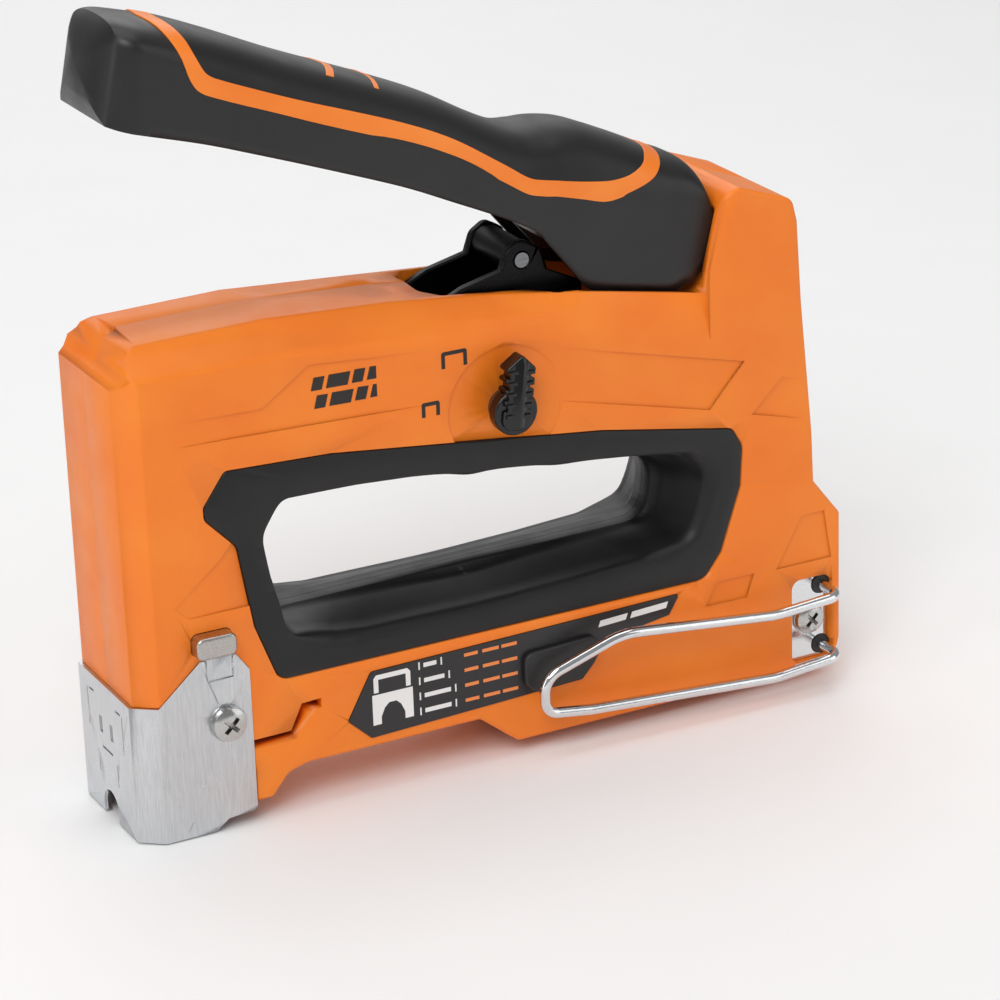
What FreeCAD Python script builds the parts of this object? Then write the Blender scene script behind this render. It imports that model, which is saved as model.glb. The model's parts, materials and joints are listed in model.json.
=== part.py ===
import FreeCAD, Part
import math
import os

# Hand staple gun for wire and cable staples, in millimetres.
# Frame: x = 0 is the front face of the nose plate and +X runs to the tail; y = 0 is the joint plane of
# the two housing halves, with the selector and the belt hook on the -Y side; z = 0 is the lowest edge
# of the nose plate and +Z is up. What belongs to the nose is placed by x, what belongs to the tail by
# rear(distance from the tail), and what belongs to the top bar by above(height over bar_top).

os.makedirs("parts", exist_ok=True)
V = FreeCAD.Vector

# ---- Overall sizes ----
length = 154.9            # nose plate front to tail
half_width = 15.9         # housing, joint plane to side face
panel_depth = 0.45         # styling panels, below the side face
edge_round = 0.9          # outer edges of the housing
bar_top = 90.2            # top of the housing's front face, at the nose

# ---- Fits ----
gap = 0.3                 # between parts that move past each other
seat = 0.1                # around a part fixed in a pocket
running = 0.05            # radial, shaft in its bore

# ---- Housing ----
face_x = 0.8              # housing front, just behind the nose plate's face
front_half = 12.4         # flat front, joint plane to the corner bevel
bevel_length = 4.2        # corner bevel, along x
nose_floor = 10.6         # underside of the housing between the plate's cheeks
foot_x = 23.9             # front foot, behind the plate
foot_z = 3.9
belly_z = 9.3             # underside of the lower bar
base_z = 2.7              # underside of the rear base
nose_chamber = (3.5, 23.0)
nose_half = 11.4          # hammer chamber, joint plane to wall
bar_half = 12.8           # top bar chamber, joint plane to wall
tunnel_half = 10.3        # magazine tunnel
tunnel_z = (10.8, 25.2)
chamber_roof = bar_top - 1.7

# ---- Grip inserts ----
insert_depth = 2.0        # face plate, let into the side face
ring_wall = 3.0           # wall that lines the hand opening
rib_half = 3.0            # raised rib on the opening's floor and rear

# ---- Nose plate and its screws ----
sheet = 1.2
proud = 0.25              # plate cheeks stand outside the housing sides
plate_rear = 23.5
notch_width = 7.6
notch_height = 5.6
nose_screw_x = 18.4
nose_screw_z = 22.0
screw_head_r = 3.65
screw_head_t = 2.1
screw_r = 1.9

# ---- Hammer, blade and main spring ----
stop_x = (12.1, 20.3)
stop_z = (36.7, 41.2)
stop_half = half_width + 3.1      # bar end, from the joint plane
stop_corner_r = 1.35
bumper_t = 3.1
hammer_base_t = 5.4
hammer_rise = 13.9        # travel of the hammer
blade_x = 3.7
blade_t = 1.3
blade_half = 8.9
blade_tip_z = 7.0
spring_x = 12.5
spring_r = 5.7
spring_wire = 1.5
spring_cap_t = 1.9

# ---- Rocker ----
rocker_x = length - 96.9
rocker_z = bar_top - 6.2
rocker_pin_r = 2.5
rocker_plate = (6.2, 8.2)     # inner and outer face of each side plate
tip_x = 15.0
tip_z = bar_top - 22.2
tip_r = 2.2
roller_x = length - 66.9
roller_z = bar_top + 8.8
roller_r = 3.4
roller_pin_r = 1.5

# ---- Lever ----
pivot_x = length - 37.4
pivot_z = bar_top + 8.8
pivot_pin_r = 3.0
lever_half = 12.7
lever_wall = 2.5
channel_t = 1.5
lug_half = 5.4            # housing lug between the lever's channel walls
lug_r = 6.2
tail_r = 11.0             # lever tail about the pivot

# ---- Selector ----
selector_x = length - 75.4
selector_z = bar_top - 16.7
shaft_r = 2.5
knob_face = half_width + 5.5      # outer face, from the joint plane
sweep_r = 12.2             # shallow dish that the knob turns over
knob_t = 3.6
knob_hub_r = 4.6
knob_reach = 11.6         # pivot to the pointed end
knob_half = 3.1
knob_tilt = 7.0           # degrees towards the tail
push = 1.5
cam_r = 4.3
cam_offset = 0.9
collar_y = (-9.2, -7.2)

# ---- Belt hook ----
wire_r = 1.1
hook_y = half_width + 6.0         # legs, from the joint plane
hook_upper_z = 20.3
hook_lower_z = 7.0
hook_root_x = length - 4.0
recess_x = (length - 11.6, length - 2.4)
recess_z = (4.4, 22.8)
recess_depth = 2.2
hook_plate_t = 0.8
hook_screw_r = 1.5
hook_screw_head_r = 3.5

# ---- Magazine ----
rail_half = 7.2
rail_z = (12.6, 22.6)
rail_t = 1.2
rail_front = 5.6
cap_t = 4.7
rod_r = 1.6
pusher_length = 12.0
pusher_wall = 1.9

# ---- Label ----
label_t = 0.5
label_recess = 0.3

# ---- Housing screws ----
case_screw_r = 1.5
case_head_r = 2.5
case_head_t = 1.8


def rear(distance):
    return length - distance


def above(height):
    return bar_top + height


def rounded_path(points, closed):
    """Edges through 3-D points; a radius beside a point rounds that corner with a tangent arc."""
    count = len(points)
    corners = []
    for i, (here, radius) in enumerate(points):
        is_end = not closed and i in (0, count - 1)
        if radius == 0 or is_end:
            corners.append((here, None, here))
            continue
        back = (points[i - 1][0] - here).normalize()
        on = (points[(i + 1) % count][0] - here).normalize()
        half_angle = back.getAngle(on) / 2
        reach = radius / math.tan(half_angle)
        inward = (back + on).normalize()
        middle = here + inward * (radius / math.sin(half_angle) - radius)
        corners.append((here + back * reach, middle, here + on * reach))
    edges = []
    for i, (start, middle, end) in enumerate(corners):
        if middle:
            edges.append(Part.Arc(start, middle, end).toShape())
        if i == count - 1 and not closed:
            break
        following = corners[(i + 1) % count][0]
        if (following - end).Length > 1e-5:
            edges.append(Part.LineSegment(end, following).toShape())
    return Part.Wire(edges)


def outline(points, place):
    """Closed face from (u, v) or (u, v, corner radius) points; place turns u, v into a vector."""
    placed = [(place(p[0], p[1]), p[2] if len(p) > 2 else 0) for p in points]
    return Part.Face(rounded_path(placed, True))


def side_slab(points, y0, y1):
    """Outline in x, z run from y0 to y1."""
    return outline(points, lambda x, z: V(x, y0, z)).extrude(V(0, y1 - y0, 0))


def plan_slab(points, z0, z1):
    """Outline in x, y run from z0 to z1."""
    return outline(points, lambda x, y: V(x, y, z0)).extrude(V(0, 0, z1 - z0))


def end_slab(points, x0, x1):
    """Outline in y, z run from x0 to x1."""
    return outline(points, lambda y, z: V(x0, y, z)).extrude(V(x1 - x0, 0, 0))


def block(x0, x1, y0, y1, z0, z1):
    return Part.makeBox(x1 - x0, y1 - y0, z1 - z0, V(x0, y0, z0))


def rod_y(x, z, radius, y0, y1):
    return Part.makeCylinder(radius, y1 - y0, V(x, y0, z), V(0, 1, 0))


def tube_y(x, z, outer, inner, y0, y1):
    return rod_y(x, z, outer, y0, y1).cut(rod_y(x, z, inner, y0, y1))


def rod_z(x, radius, z0, z1):
    return Part.makeCylinder(radius, z1 - z0, V(x, 0, z0))


def rod_x(z, radius, x0, x1):
    return Part.makeCylinder(radius, x1 - x0, V(x0, 0, z), V(1, 0, 0))


def mirrored(shape):
    return shape.mirror(V(0, 0, 0), V(0, 1, 0))


def both_sides(shape):
    return Part.makeCompound([shape, mirrored(shape)])


def fused(*shapes):
    return shapes[0].multiFuse(list(shapes[1:])).removeSplitter()


def cut_all(shape, cutters):
    for cutter in cutters:
        shape = shape.cut(cutter)
    return shape


def save(node, shape):
    solids = shape.Solids
    good = shape.isValid() and solids and all(s.isClosed() and s.Volume > 0.01 for s in solids)
    if not good:
        print("NOT SOUND:", node)
    if len(solids) == 1:
        shape = solids[0]
    shape.exportStep("parts/" + node + ".step")
    box = shape.BoundBox
    print(f"{node}: {len(solids)} solid(s), {box.XLength:.1f} x {box.YLength:.1f} x {box.ZLength:.1f}")


# ---- Shared outlines ----

def insert_outline():
    """Outer edge of the grip insert's face plate, in x, z."""
    return [(29.6, 27.9, 3), (25.1, 40.1), (22.5, 56.8, 3), (16.3, 63.4, 2), (16.3, 65.9, 1.5),
            (20.9, above(-18.0), 1.5), (42.6, above(-18.9)), (rear(54.8), above(-25.9)),
            (rear(25.2), above(-31.4), 3), (rear(22.8), above(-35.5), 4), (rear(23.4), above(-44.0)),
            (rear(28.0), 33.0), (rear(31.9), 27.9, 4)]


def opening_outline():
    """Hand opening at its rib, in x, z."""
    return [(33.5, 37.0, 4), (28.3, 56.0, 5), (33.0, above(-27.0), 6), (53.0, above(-27.0)),
            (rear(46.0), above(-34.6), 7), (rear(36.6), above(-40.3), 6), (rear(38.0), 38.2, 6)]


def plate_profile(grow):
    """Side view of the nose plate; grow moves the upper and rear edges out."""
    return [(-2, -1), (-2, 27.9 + grow), (4.7, 27.9 + grow), (13.4, 35.4 + grow),
            (20.9, 35.5 + grow), (plate_rear + grow, 31.8 + grow), (plate_rear + grow, 2.6, 1),
            (17.5, 2.1), (14.8, 0, 2), (8.0, 0), (8.0, -1)]


def nose_plan(inset, front, half, rear_x):
    """Plan of the nose: flat front with two bevels, moved in by inset from the outer sheet face."""
    slant = math.hypot(bevel_length, half_width - front_half)
    shift = inset * (slant - bevel_length) / (half_width - front_half)
    side_shift = inset * (slant - (half_width - front_half)) / bevel_length
    corner = front_half + (half - half_width) - shift
    return [(front + inset, -corner), (front + inset, corner),
            (front + bevel_length + proud + side_shift, half - inset), (rear_x, half - inset),
            (rear_x, inset - half), (front + bevel_length + proud + side_shift, inset - half)]


def plate_shell(thickness, grow):
    """Sheet wrapped round the nose, thick inwards, with its side view grown by grow."""
    outer_half = half_width + proud
    reach = plate_rear + 10
    outer = plan_slab(nose_plan(0, 0, outer_half, reach), 0, stop_z[0])
    core = plan_slab(nose_plan(thickness, 0, outer_half, reach + 1), -1, stop_z[0] + 1)
    profile = side_slab(plate_profile(grow), -outer_half - 1, outer_half + 1)
    return outer.cut(core).common(profile)


# ---- Housing halves ----

def roof_section(x, shoulder, second, third, ridge):
    """Half section of the top bar at x: side top, two ridge corners as (y, z), and the centre line."""
    slope = (second[1] - shoulder) / (second[0] + half_width)
    points = [(0, above(-60)), (-half_width, above(-60)), (-half_width, shoulder - edge_round),
              (-half_width + edge_round * 0.7, shoulder + edge_round * 0.7 * slope), second, third,
              (0, ridge)]
    return Part.Wire(Part.makePolygon([V(x, y, z) for y, z in points + points[:1]]))


def roof_envelope():
    """Everything under the sloped and stepped roof of the left half."""
    side = half_width
    sections = [
        roof_section(face_x - 1, above(2.4), (4.1 - side, above(5.2)), (5.6 - side, above(7.2)), above(8.0)),
        roof_section(33, above(2.2), (4.1 - side, above(5.1)), (5.6 - side, above(7.8)), above(8.6)),
        roof_section(rear(97), above(-0.1), (2.7 - side, above(3.2)), (6.4 - side, above(6.2)), above(7.0)),
        roof_section(rear(75), above(-2.6), (1.6 - side, above(0.6)), (5.1 - side, above(4.2)), above(4.6)),
        roof_section(rear(58), above(-5.6), (1.0 - side, above(-1.9)), (1.7 - side, above(2.5)), above(2.9)),
        roof_section(rear(30), above(-11.2), (0.8 - side, above(-7.4)), (1.6 - side, above(-3.0)),
                     above(-1.8)),
    ]
    return Part.makeLoft(sections, True, True)


def is_soft(box):
    """Long outer edges that the mould rounds: the side outline, the nose and the roof's ridge."""
    if box.YMax < -half_width + 0.02:
        tower = box.XMin > rear(30.1) and box.ZMin > above(1.8)
        tail = box.XMin > rear(14) and box.ZMax < above(9)
        belly = box.XMin > foot_x + 2 and box.ZMax < belly_z + 0.3
        nose = box.XMin > face_x + bevel_length - 0.1 and box.XMax < face_x + bevel_length + 0.1
        return tower or tail or belly or nose
    long = box.XMax - box.XMin > 15 and box.XMax < rear(29.9)
    return long and box.YMax < -8 and box.ZMax > above(5.3)


def housing_blank():
    """Left half with no hollows: side outline, roof steps, bevelled nose and tower."""
    points = [(face_x, nose_floor), (foot_x, nose_floor), (foot_x, foot_z), (foot_x + 3.2, foot_z, 1),
              (foot_x + 6.8, 8.2, 3), (foot_x + 11, belly_z), (rear(82.9), belly_z, 1.5),
              (rear(74.7), base_z, 2), (length, base_z, 6), (length, 35.5, 1), (rear(6.1), 43.5),
              (rear(6.5), 54.2, 3), (rear(8.9), above(-8.0)), (rear(9.8), above(8.7)),
              (rear(10.9), above(13.3), 2.5), (rear(23.2), above(17.8), 3), (rear(26.2), above(16.6)),
              (rear(30.2), above(1.0)), (rear(31.0), above(9.9)),
              (face_x, above(9.9))]
    blank = side_slab(points, -half_width, 0)
    top = block(face_x - 1, rear(30.0), -half_width - 1, 1, above(-30), above(30))
    blank = blank.cut(top.cut(roof_envelope()))
    nose = plan_slab([(face_x, 1), (face_x, -front_half), (face_x + bevel_length, -half_width),
                      (length + 1, -half_width), (length + 1, 1)], -5, above(40))
    step = side_slab([(face_x - 1, above(0.2)), (2.4, above(1.4)), (3.6, above(2.8)), (5.0, above(6.4)),
                      (7.5, above(7.4)), (9, above(20)), (face_x - 1, above(20))], -half_width - 1, 1)
    blank = blank.common(nose).cut(step)
    return blank.makeFillet(edge_round, [edge for edge in blank.Edges if is_soft(edge.BoundBox)])


def housing_hollows():
    """Chambers cut in each half: hammer, top bar, tower, magazine tunnel, lever well and pocket."""
    over = 1
    chambers = [
        block(*nose_chamber, -nose_half, over, nose_floor - 1, above(-2.6)),
        block(*nose_chamber, -9.2, over, nose_floor, chamber_roof),
        block(nose_chamber[0], length + 1, -tunnel_half, over, *tunnel_z),
        block(foot_x - 1, 34, -rocker_plate[1] - 0.8, over, above(-24), chamber_roof),
    ]
    bar = [(33, above(-16.2)), (rear(95), above(-17.4)), (rear(54.8), above(-23.2)),
           (rear(31.5), above(-27.2)), (rear(31.5), above(-14.0)), (rear(54), above(-9.5)),
           (rear(73), above(-5.0)), (33, above(-2.4))]
    chambers.append(side_slab(bar, -bar_half, over))
    upper = [(33, above(-4)), (rear(40), above(-15)), (rear(40), above(-4)), (rear(84), above(3.4)),
             (33, above(4.6))]
    chambers.append(side_slab(upper, -8.5, over))
    chambers.append(side_slab([(rear(19.5), above(-30)), (rear(13.0), above(-30)), (rear(13.6), above(6)),
                               (rear(21.5), above(6))], -bar_half, over))
    return chambers


def lever_well():
    """Opening in the roof for the rocker and the lever's flanges, and the pocket for the lever's tail."""
    well_half = lever_half + gap + 0.05
    plan = [(rear(88), 1), (rear(88), -5.5, 3), (rear(84.6), -rocker_plate[1] - 0.8, 1.5),
            (rear(67.5), -rocker_plate[1] - 1.6, 4), (rear(62.5), -well_half, 4),
            (pivot_x, -well_half), (pivot_x, 1)]
    well = plan_slab(plan, above(-12.5), above(30))
    pocket = rod_y(pivot_x, pivot_z, tail_r + gap + 0.4, -well_half, 1)
    throat = side_slab([(pivot_x - 2, above(-8)), (pivot_x + 6, above(-4)), (pivot_x + tail_r, above(5)),
                        (pivot_x + 6, above(30)), (pivot_x - 2, above(30))], -well_half, 1)
    return [well, pocket, throat]


def pivot_lug():
    """Half of the lug that carries the lever's pivot pin, standing on the top bar's floor."""
    neck = side_slab([(pivot_x - 5.5, above(-30)), (pivot_x + 5.5, above(-30)),
                      (pivot_x + 5.0, pivot_z), (pivot_x - 5.0, pivot_z)], -lug_half, 0)
    return fused(neck, rod_y(pivot_x, pivot_z, lug_r, -lug_half, 0))


def window_slot():
    """Zig-zag window through the lower bar's wall, at the level of the staples."""
    upper = [(23.0, 16.9), (31.4, 17.0), (33.9, 22.1), (38.0, 22.3), (38.0, 20.4), (34.9, 20.2),
             (32.4, 15.1), (23.0, 15.0)]
    return side_slab(upper, -half_width - 1, -tunnel_half + 1)


def sunk_panel(points, floor):
    """Shallow panel in the side face; floor lists x where it starts down, is down, starts up, is up."""
    start, down, up, end = floor
    deep = -half_width + panel_depth
    ramp = plan_slab([(start, -half_width - 1), (start, -half_width), (down, deep), (up, deep),
                      (end, -half_width), (end, -half_width - 1)], 0, above(10))
    return side_slab(points, -half_width - 1, deep).common(ramp)


def sunk_panels():
    """Styling panels that both sides share."""
    left = [(11.5, above(-6.9)), (29.2, above(-7.3)), (38.9, above(-0.6)), (63, above(-2.6)),
            (63, 76.9), (11.5, 78.6)]
    right = [(rear(64.4), 83.2), (rear(22.3), 72.3), (rear(30.3), 63.6), (rear(64.4), 72.3)]
    tail = [(rear(20.8), 60.8), (rear(13.8), 67.3), (rear(8.5), 66.0), (rear(8.5), 57.5)]
    front = [(9.2, 47.1), (19.0, 55.0), (24.0, 60.8), (26.5, 60.8), (26.5, 44.5), (12, 44.5)]
    lower = [(rear(29.3), 26.7), (rear(20.4), 26.7), (rear(22.2), 21.8), (rear(31.9), 21.9)]
    hook = [(rear(9.3), 36.8), (rear(15.3), 26.3), (rear(2.2), 26.3), (rear(3.9), 36.8)]
    return [sunk_panel(left, (11.5, 24, 50, 63)),
            sunk_panel(right, (rear(64.4), rear(50), rear(20), rear(20))),
            sunk_panel(tail, (rear(24), rear(24), rear(16), rear(8.5))),
            sunk_panel(front, (8.5, 19, 27, 27)),
            sunk_panel(lower, (rear(35), rear(35), rear(18), rear(18))),
            sunk_panel(hook, (rear(18), rear(18), rear(1), rear(1)))]


def label_outline(grow):
    """Long label with a pointed front and a slanted tail; grow widens it all round."""
    face = outline([(43.4, 16.0, 0.5), (48.6, 25.2, 1), (rear(37.9), 26.2, 0.5), (rear(40.4), 22.2),
                    (rear(55.0), 20.0), (rear(57.6), 15.8), (rear(60.3), 12.9, 1), (48.2, 11.4, 1)],
                   lambda x, z: V(x, 0, z))
    return Part.Face(face.OuterWire.makeOffset2D(grow)) if grow else face


def case_screw_places():
    return [(25.9, 30.8), (rear(60), 6.4), (rear(13.8), 45.0), (rear(17.5), above(11.2))]


def stop_outline(grow):
    """Rounded section of the stop bar, widened by grow for its slot."""
    radius = stop_corner_r + grow
    x0, x1 = stop_x[0] - grow, stop_x[1] + grow
    z0, z1 = stop_z[0] - grow, stop_z[1] + grow
    return [(x0, z0, radius), (x0, z1, radius), (x1, z1, radius), (x1, z0, radius)]


def housing_half():
    """The left half before its own side's openings."""
    opening = outline(opening_outline(), lambda x, z: V(x, 1, z))
    liner = Part.Face(opening.OuterWire.makeOffset2D(ring_wall + seat)).extrude(V(0, -half_width - 2, 0))
    plate = outline(insert_outline(), lambda x, z: V(x, -half_width + insert_depth, z))
    face_recess = Part.Face(plate.OuterWire.makeOffset2D(seat)).extrude(V(0, -insert_depth - 1, 0))
    half = cut_all(housing_blank(), housing_hollows() + lever_well() + [liner, face_recess])
    boss = rod_y(rocker_x, rocker_z, rocker_pin_r + 2.5, -half_width + 1.0, -rocker_plate[1] - gap)
    tower_boss = rod_y(rear(17.5), above(11.2), 3.4, -bar_half - 1, 0)
    half = fused(half, pivot_lug(), boss.common(roof_envelope()), tower_boss.common(housing_blank()))
    cutters = [
        rod_y(rocker_x, rocker_z, rocker_pin_r + seat, -bar_half, 1),
        rod_y(pivot_x, pivot_z, pivot_pin_r + seat, -lug_half - 1, 1),
        plate_shell(sheet + seat, seat),
        side_slab(stop_outline(seat), -half_width - 1, 1),
        rod_y(nose_screw_x, nose_screw_z, screw_r + seat, -half_width - 1, -nose_half + 0.5),
        block(face_x - 1, nose_chamber[0] + 0.1, -10.6, 1, nose_floor - 1, 27.0),
        window_slot(),
    ]
    return cut_all(half, cutters + sunk_panels())


def housing_left():
    """Half on the control side, with the label's recess, the selector's bore and the hook's seat."""
    label = label_outline(seat).extrude(V(0, -1, 0))
    label.translate(V(0, -half_width + label_recess, 0))
    shaft = rod_y(selector_x, selector_z, knob_hub_r - 1.2 + running, -half_width - 1, -bar_half + 0.5)
    recess = side_slab([(recess_x[0], recess_z[0], 2), (recess_x[0], recess_z[1], 2),
                        (recess_x[1], recess_z[1], 2), (recess_x[1], recess_z[0], 2)],
                       -half_width - 1, -half_width + recess_depth)
    cam_room = rod_y(selector_x, selector_z, cam_r + cam_offset + gap, -bar_half, 1)
    sweep = rod_y(selector_x, selector_z, sweep_r, -half_width - 1, -half_width + panel_depth)
    before, after = selector_x - sweep_r - 1, selector_x + sweep_r
    fade = plan_slab([(before, -half_width - 1), (before, -half_width + 1),
                      (selector_x, -half_width + panel_depth), (after, -half_width),
                      (after, -half_width - 1)], 0, above(10))
    cutters = [label, shaft, recess, cam_room, sweep.common(fade),
               rod_y(rear(7.1), 13.6, hook_screw_r + seat, -half_width, -tunnel_half - 0.5)]
    for z in (hook_lower_z, hook_upper_z):
        cutters.append(rod_y(hook_root_x, z, wire_r + 0.9 + seat, -half_width, -tunnel_half - 0.5))
    for x, z in case_screw_places():
        cutters.append(rod_y(x, z, case_screw_r + seat, -half_width + 4.5, 1))
    return cut_all(housing_half(), cutters)


def housing_right():
    """Plain half, counterbored for the screw heads."""
    half = mirrored(housing_half())
    for x, z in case_screw_places():
        half = half.cut(rod_y(x, z, case_screw_r + seat, -1, half_width + 1))
        half = half.cut(rod_y(x, z, case_head_r + seat, half_width - case_head_t - 1.5, half_width + 1))
    return half


def case_screws():
    screws = []
    for x, z in case_screw_places():
        seat_y = half_width - case_head_t - 1.5
        shank = rod_y(x, z, case_screw_r, -half_width + 5.0, seat_y)
        screws.append(fused(shank, rod_y(x, z, case_head_r, seat_y, seat_y + case_head_t)))
    return Part.makeCompound(screws)


def grip_insert():
    """Left insert: a face plate and the ring that lines the hand opening, scooped floor and rear."""
    opening = outline(opening_outline(), lambda x, z: V(x, 0, z))
    ring = Part.Face(opening.OuterWire.makeOffset2D(ring_wall)).extrude(V(0, -half_width, 0))
    plate = outline(insert_outline(), lambda x, z: V(x, -half_width + insert_depth, z))
    insert = fused(ring, plate.extrude(V(0, -insert_depth, 0)))
    scoop = ring_wall - 1.2
    drop = end_slab([(-rib_half, 38.5), (-half_width - 1, 38.5), (-half_width - 1, 37.0 - scoop),
                     (-rib_half - 1.2, 37.0)], 38.0, rear(43.0))
    flare = plan_slab([(rear(38.5), -rib_half), (rear(38.0), -rib_half),
                       (rear(36.8 - scoop), -half_width + 2), (rear(36.8 - scoop), -half_width - 1),
                       (rear(38.5), -half_width - 1)], 42.0, above(-41.5))
    through = outline(opening_outline(), lambda x, z: V(x, 1, z)).extrude(V(0, -half_width - 2, 0))
    return cut_all(insert, [through, drop, flare])


# ---- Nose ----

def nose_plate():
    plate = plate_shell(sheet, 0)
    radius = notch_width / 2
    notch = rod_x(notch_height - radius, radius, -1, sheet + 1)
    throat = block(-1, sheet + 1, -radius + 0.5, radius - 0.5, -1, notch_height - radius)
    screw_hole = rod_y(nose_screw_x, nose_screw_z, screw_r + seat, -half_width - 2, half_width + 2)
    return cut_all(plate, [notch, throat, screw_hole])


def nose_screws():
    face = -half_width - proud
    head = rod_y(nose_screw_x, nose_screw_z, screw_head_r, face - screw_head_t, face)
    head = head.makeFillet(1.2, [head.Edges[2]])
    return both_sides(fused(head, rod_y(nose_screw_x, nose_screw_z, screw_r, face, -nose_half)))


def driver_guide():
    """Steel guide behind the nose plate, forming the front wall of the staple track."""
    return block(sheet + seat, blade_x - gap, -10.5, 10.5, nose_floor - 4, 26.9)


def stop_bar():
    return side_slab(stop_outline(0), -stop_half, stop_half)


def stop_bumper():
    return block(stop_x[0] - 1, stop_x[1], -9, 9, stop_z[1], stop_z[1] + bumper_t)


def hammer():
    """Base over the bumper, two cheeks beside the spring, and a lifting pad on each cheek."""
    low = stop_z[1] + bumper_t + gap
    top = low + hammer_base_t
    pad_z = tip_z + tip_r + gap
    cheek_outer = nose_half - gap
    cheek_inner = rocker_plate[1] + gap
    base = block(blade_x + blade_t, nose_chamber[1] - 2, -cheek_outer, cheek_outer, low, top)
    parts = [base]
    pad_t = 2.0
    for side in (-1, 1):
        y = sorted((side * cheek_inner, side * cheek_outer))
        pad_y = sorted((side * rocker_plate[0], side * cheek_inner))
        parts.append(block(8.5, 18, *y, top, pad_z + pad_t))
        parts.append(block(9, tip_x + 0.5, *pad_y, pad_z, pad_z + pad_t))
    return fused(*parts)


def driver_blade():
    top = stop_z[1] + bumper_t + gap + hammer_base_t
    return block(blade_x, blade_x + blade_t, -blade_half, blade_half, blade_tip_z, top)


def main_spring():
    low = stop_z[1] + bumper_t + gap + hammer_base_t + 0.1
    high = chamber_roof - spring_cap_t - 0.1
    return rod_z(spring_x, spring_r, low, high).cut(rod_z(spring_x, spring_r - spring_wire, low, high))


def spring_cap():
    """Cup under the roof with the post that keeps the main spring straight."""
    cup = rod_z(spring_x, spring_r + 0.6, chamber_roof - spring_cap_t, chamber_roof)
    low = stop_z[1] + bumper_t + hammer_base_t + hammer_rise + 2
    return fused(cup, rod_z(spring_x, spring_r - spring_wire - 0.7, low, chamber_roof))


# ---- Rocker ----

def rocker_arm():
    """Two side plates joined by a web: fork tips under the hammer's pads, eye for the roller."""
    plate = [(tip_x - 2.2, tip_z - tip_r, 1), (tip_x + 2, tip_z - tip_r), (34, above(-16.0)),
             (rocker_x, rocker_z - 5.4, 4), (rear(79), above(-6.0)), (rear(54.4), above(-2.0), 1.5),
             (rear(53.7), above(2.2), 1.5), (rear(61.5), above(6.0)), (rear(63.2), above(11.0), 2.5),
             (roller_x, roller_z + 4.2, 2), (rear(70.1), above(11.0), 2.5), (rear(71.5), above(7.2)),
             (rear(80), above(5.2)), (rocker_x + 6, above(0.2)), (rocker_x - 2, above(-0.8), 3),
             (30, above(-11.2)), (22, above(-17.6)), (tip_x + 2.8, tip_z + tip_r + 0.2),
             (tip_x - 2.2, tip_z + tip_r, 1)]
    left = side_slab(plate, -rocker_plate[1], -rocker_plate[0])
    web = side_slab([(32, above(-12.6)), (rocker_x - 6, above(-5.2)), (rocker_x - 6, above(-3.2)),
                     (32, above(-10.8))], -rocker_plate[0], rocker_plate[0])
    arm = fused(left, mirrored(left), web)
    return cut_all(arm, [rod_y(rocker_x, rocker_z, rocker_pin_r + running, -20, 20),
                         rod_y(roller_x, roller_z, roller_pin_r + seat, -20, 20)])


def rocker_pin():
    return rod_y(rocker_x, rocker_z, rocker_pin_r, -bar_half + 0.2, bar_half - 0.2)


def rocker_roller():
    half = rocker_plate[0] - 0.2
    return tube_y(roller_x, roller_z, roller_r, roller_pin_r + running, -half, half)


def roller_pin():
    return rod_y(roller_x, roller_z, roller_pin_r, -rocker_plate[1], rocker_plate[1])


# ---- Lever ----

def lever_outline():
    """Side view of the whole lever, from the end face round the tail and back along the top."""
    return [(5.1, above(49.2), 1), (21.8, above(43.7)), (rear(93.8), above(29.1)),
            (rear(73.3), above(19.6)), (rear(66.6), above(16.2), 3), (rear(55.0), above(2.2), 2),
            (rear(37.3), above(-2.2), 2), (rear(29.5), above(1.0), 5), (rear(26.9), above(12.0), 4),
            (rear(29.0), above(19.4), 4), (rear(36.8), above(25.1)), (rear(45.0), above(29.6)),
            (rear(55.6), above(33.2), 8), (rear(69.5), above(34.8), 12), (rear(87.2), above(44.5)),
            (35.3, above(57.3), 12), (28.2, above(60.8)), (17.1, above(65.3)), (8.3, above(67.5), 3),
            (0.2, above(53.5), 2)]


def trim_line(drop):
    """Lower edge of the grip's seat, drop mm lower: front riser, long run, rear riser over the top."""
    return [(14.0 - drop, above(80)), (19.2 - drop, above(63.5)), (20.6 - drop, above(57.5)),
            (23.0 - drop, above(55.8 - drop), 3), (rear(92.8), above(41.2 - drop)),
            (rear(75.6), above(31.9 - drop)), (rear(62.8), above(25.3 - drop)),
            (rear(54.6), above(23.2 - drop), 8), (rear(44.0) + drop, above(23.2 - drop), 4),
            (rear(41.5) + drop, above(27.5), 3), (rear(50) + drop, above(40)), (rear(50) + drop, above(80))]


def lever_body():
    """Full lever solid with bevelled end corners."""
    solid = side_slab(lever_outline(), -lever_half, lever_half)
    bevel = plan_slab([(-3, -lever_half - 1), (6.5, -lever_half - 1), (6.5, -lever_half), (-3, -3.0)],
                      above(40), above(80))
    return cut_all(solid, [bevel, mirrored(bevel)])


def lever_cavity(side, depth):
    """Room inside the lever, half width side, with a roof depth mm under the trim line."""
    points = [(11.0, above(20)), (11.0, above(47)), (24.0, above(51.0 - depth)),
              (rear(92.8), above(36.6 - depth)), (rear(75.6), above(27.6 - depth)),
              (rear(62.8), above(21.2 - depth)), (rear(54.6), above(18.0 - depth)),
              (pivot_x + 3.0, above(17.8 - depth), 3), (pivot_x + 7.4, pivot_z + 5.0, 3),
              (pivot_x + 8.3, pivot_z, 4),
              (pivot_x + 7.0, pivot_z - 6.0), (pivot_x + 5.6, above(-20)), (rear(100), above(-20))]
    return side_slab(points, -side, side)


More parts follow.
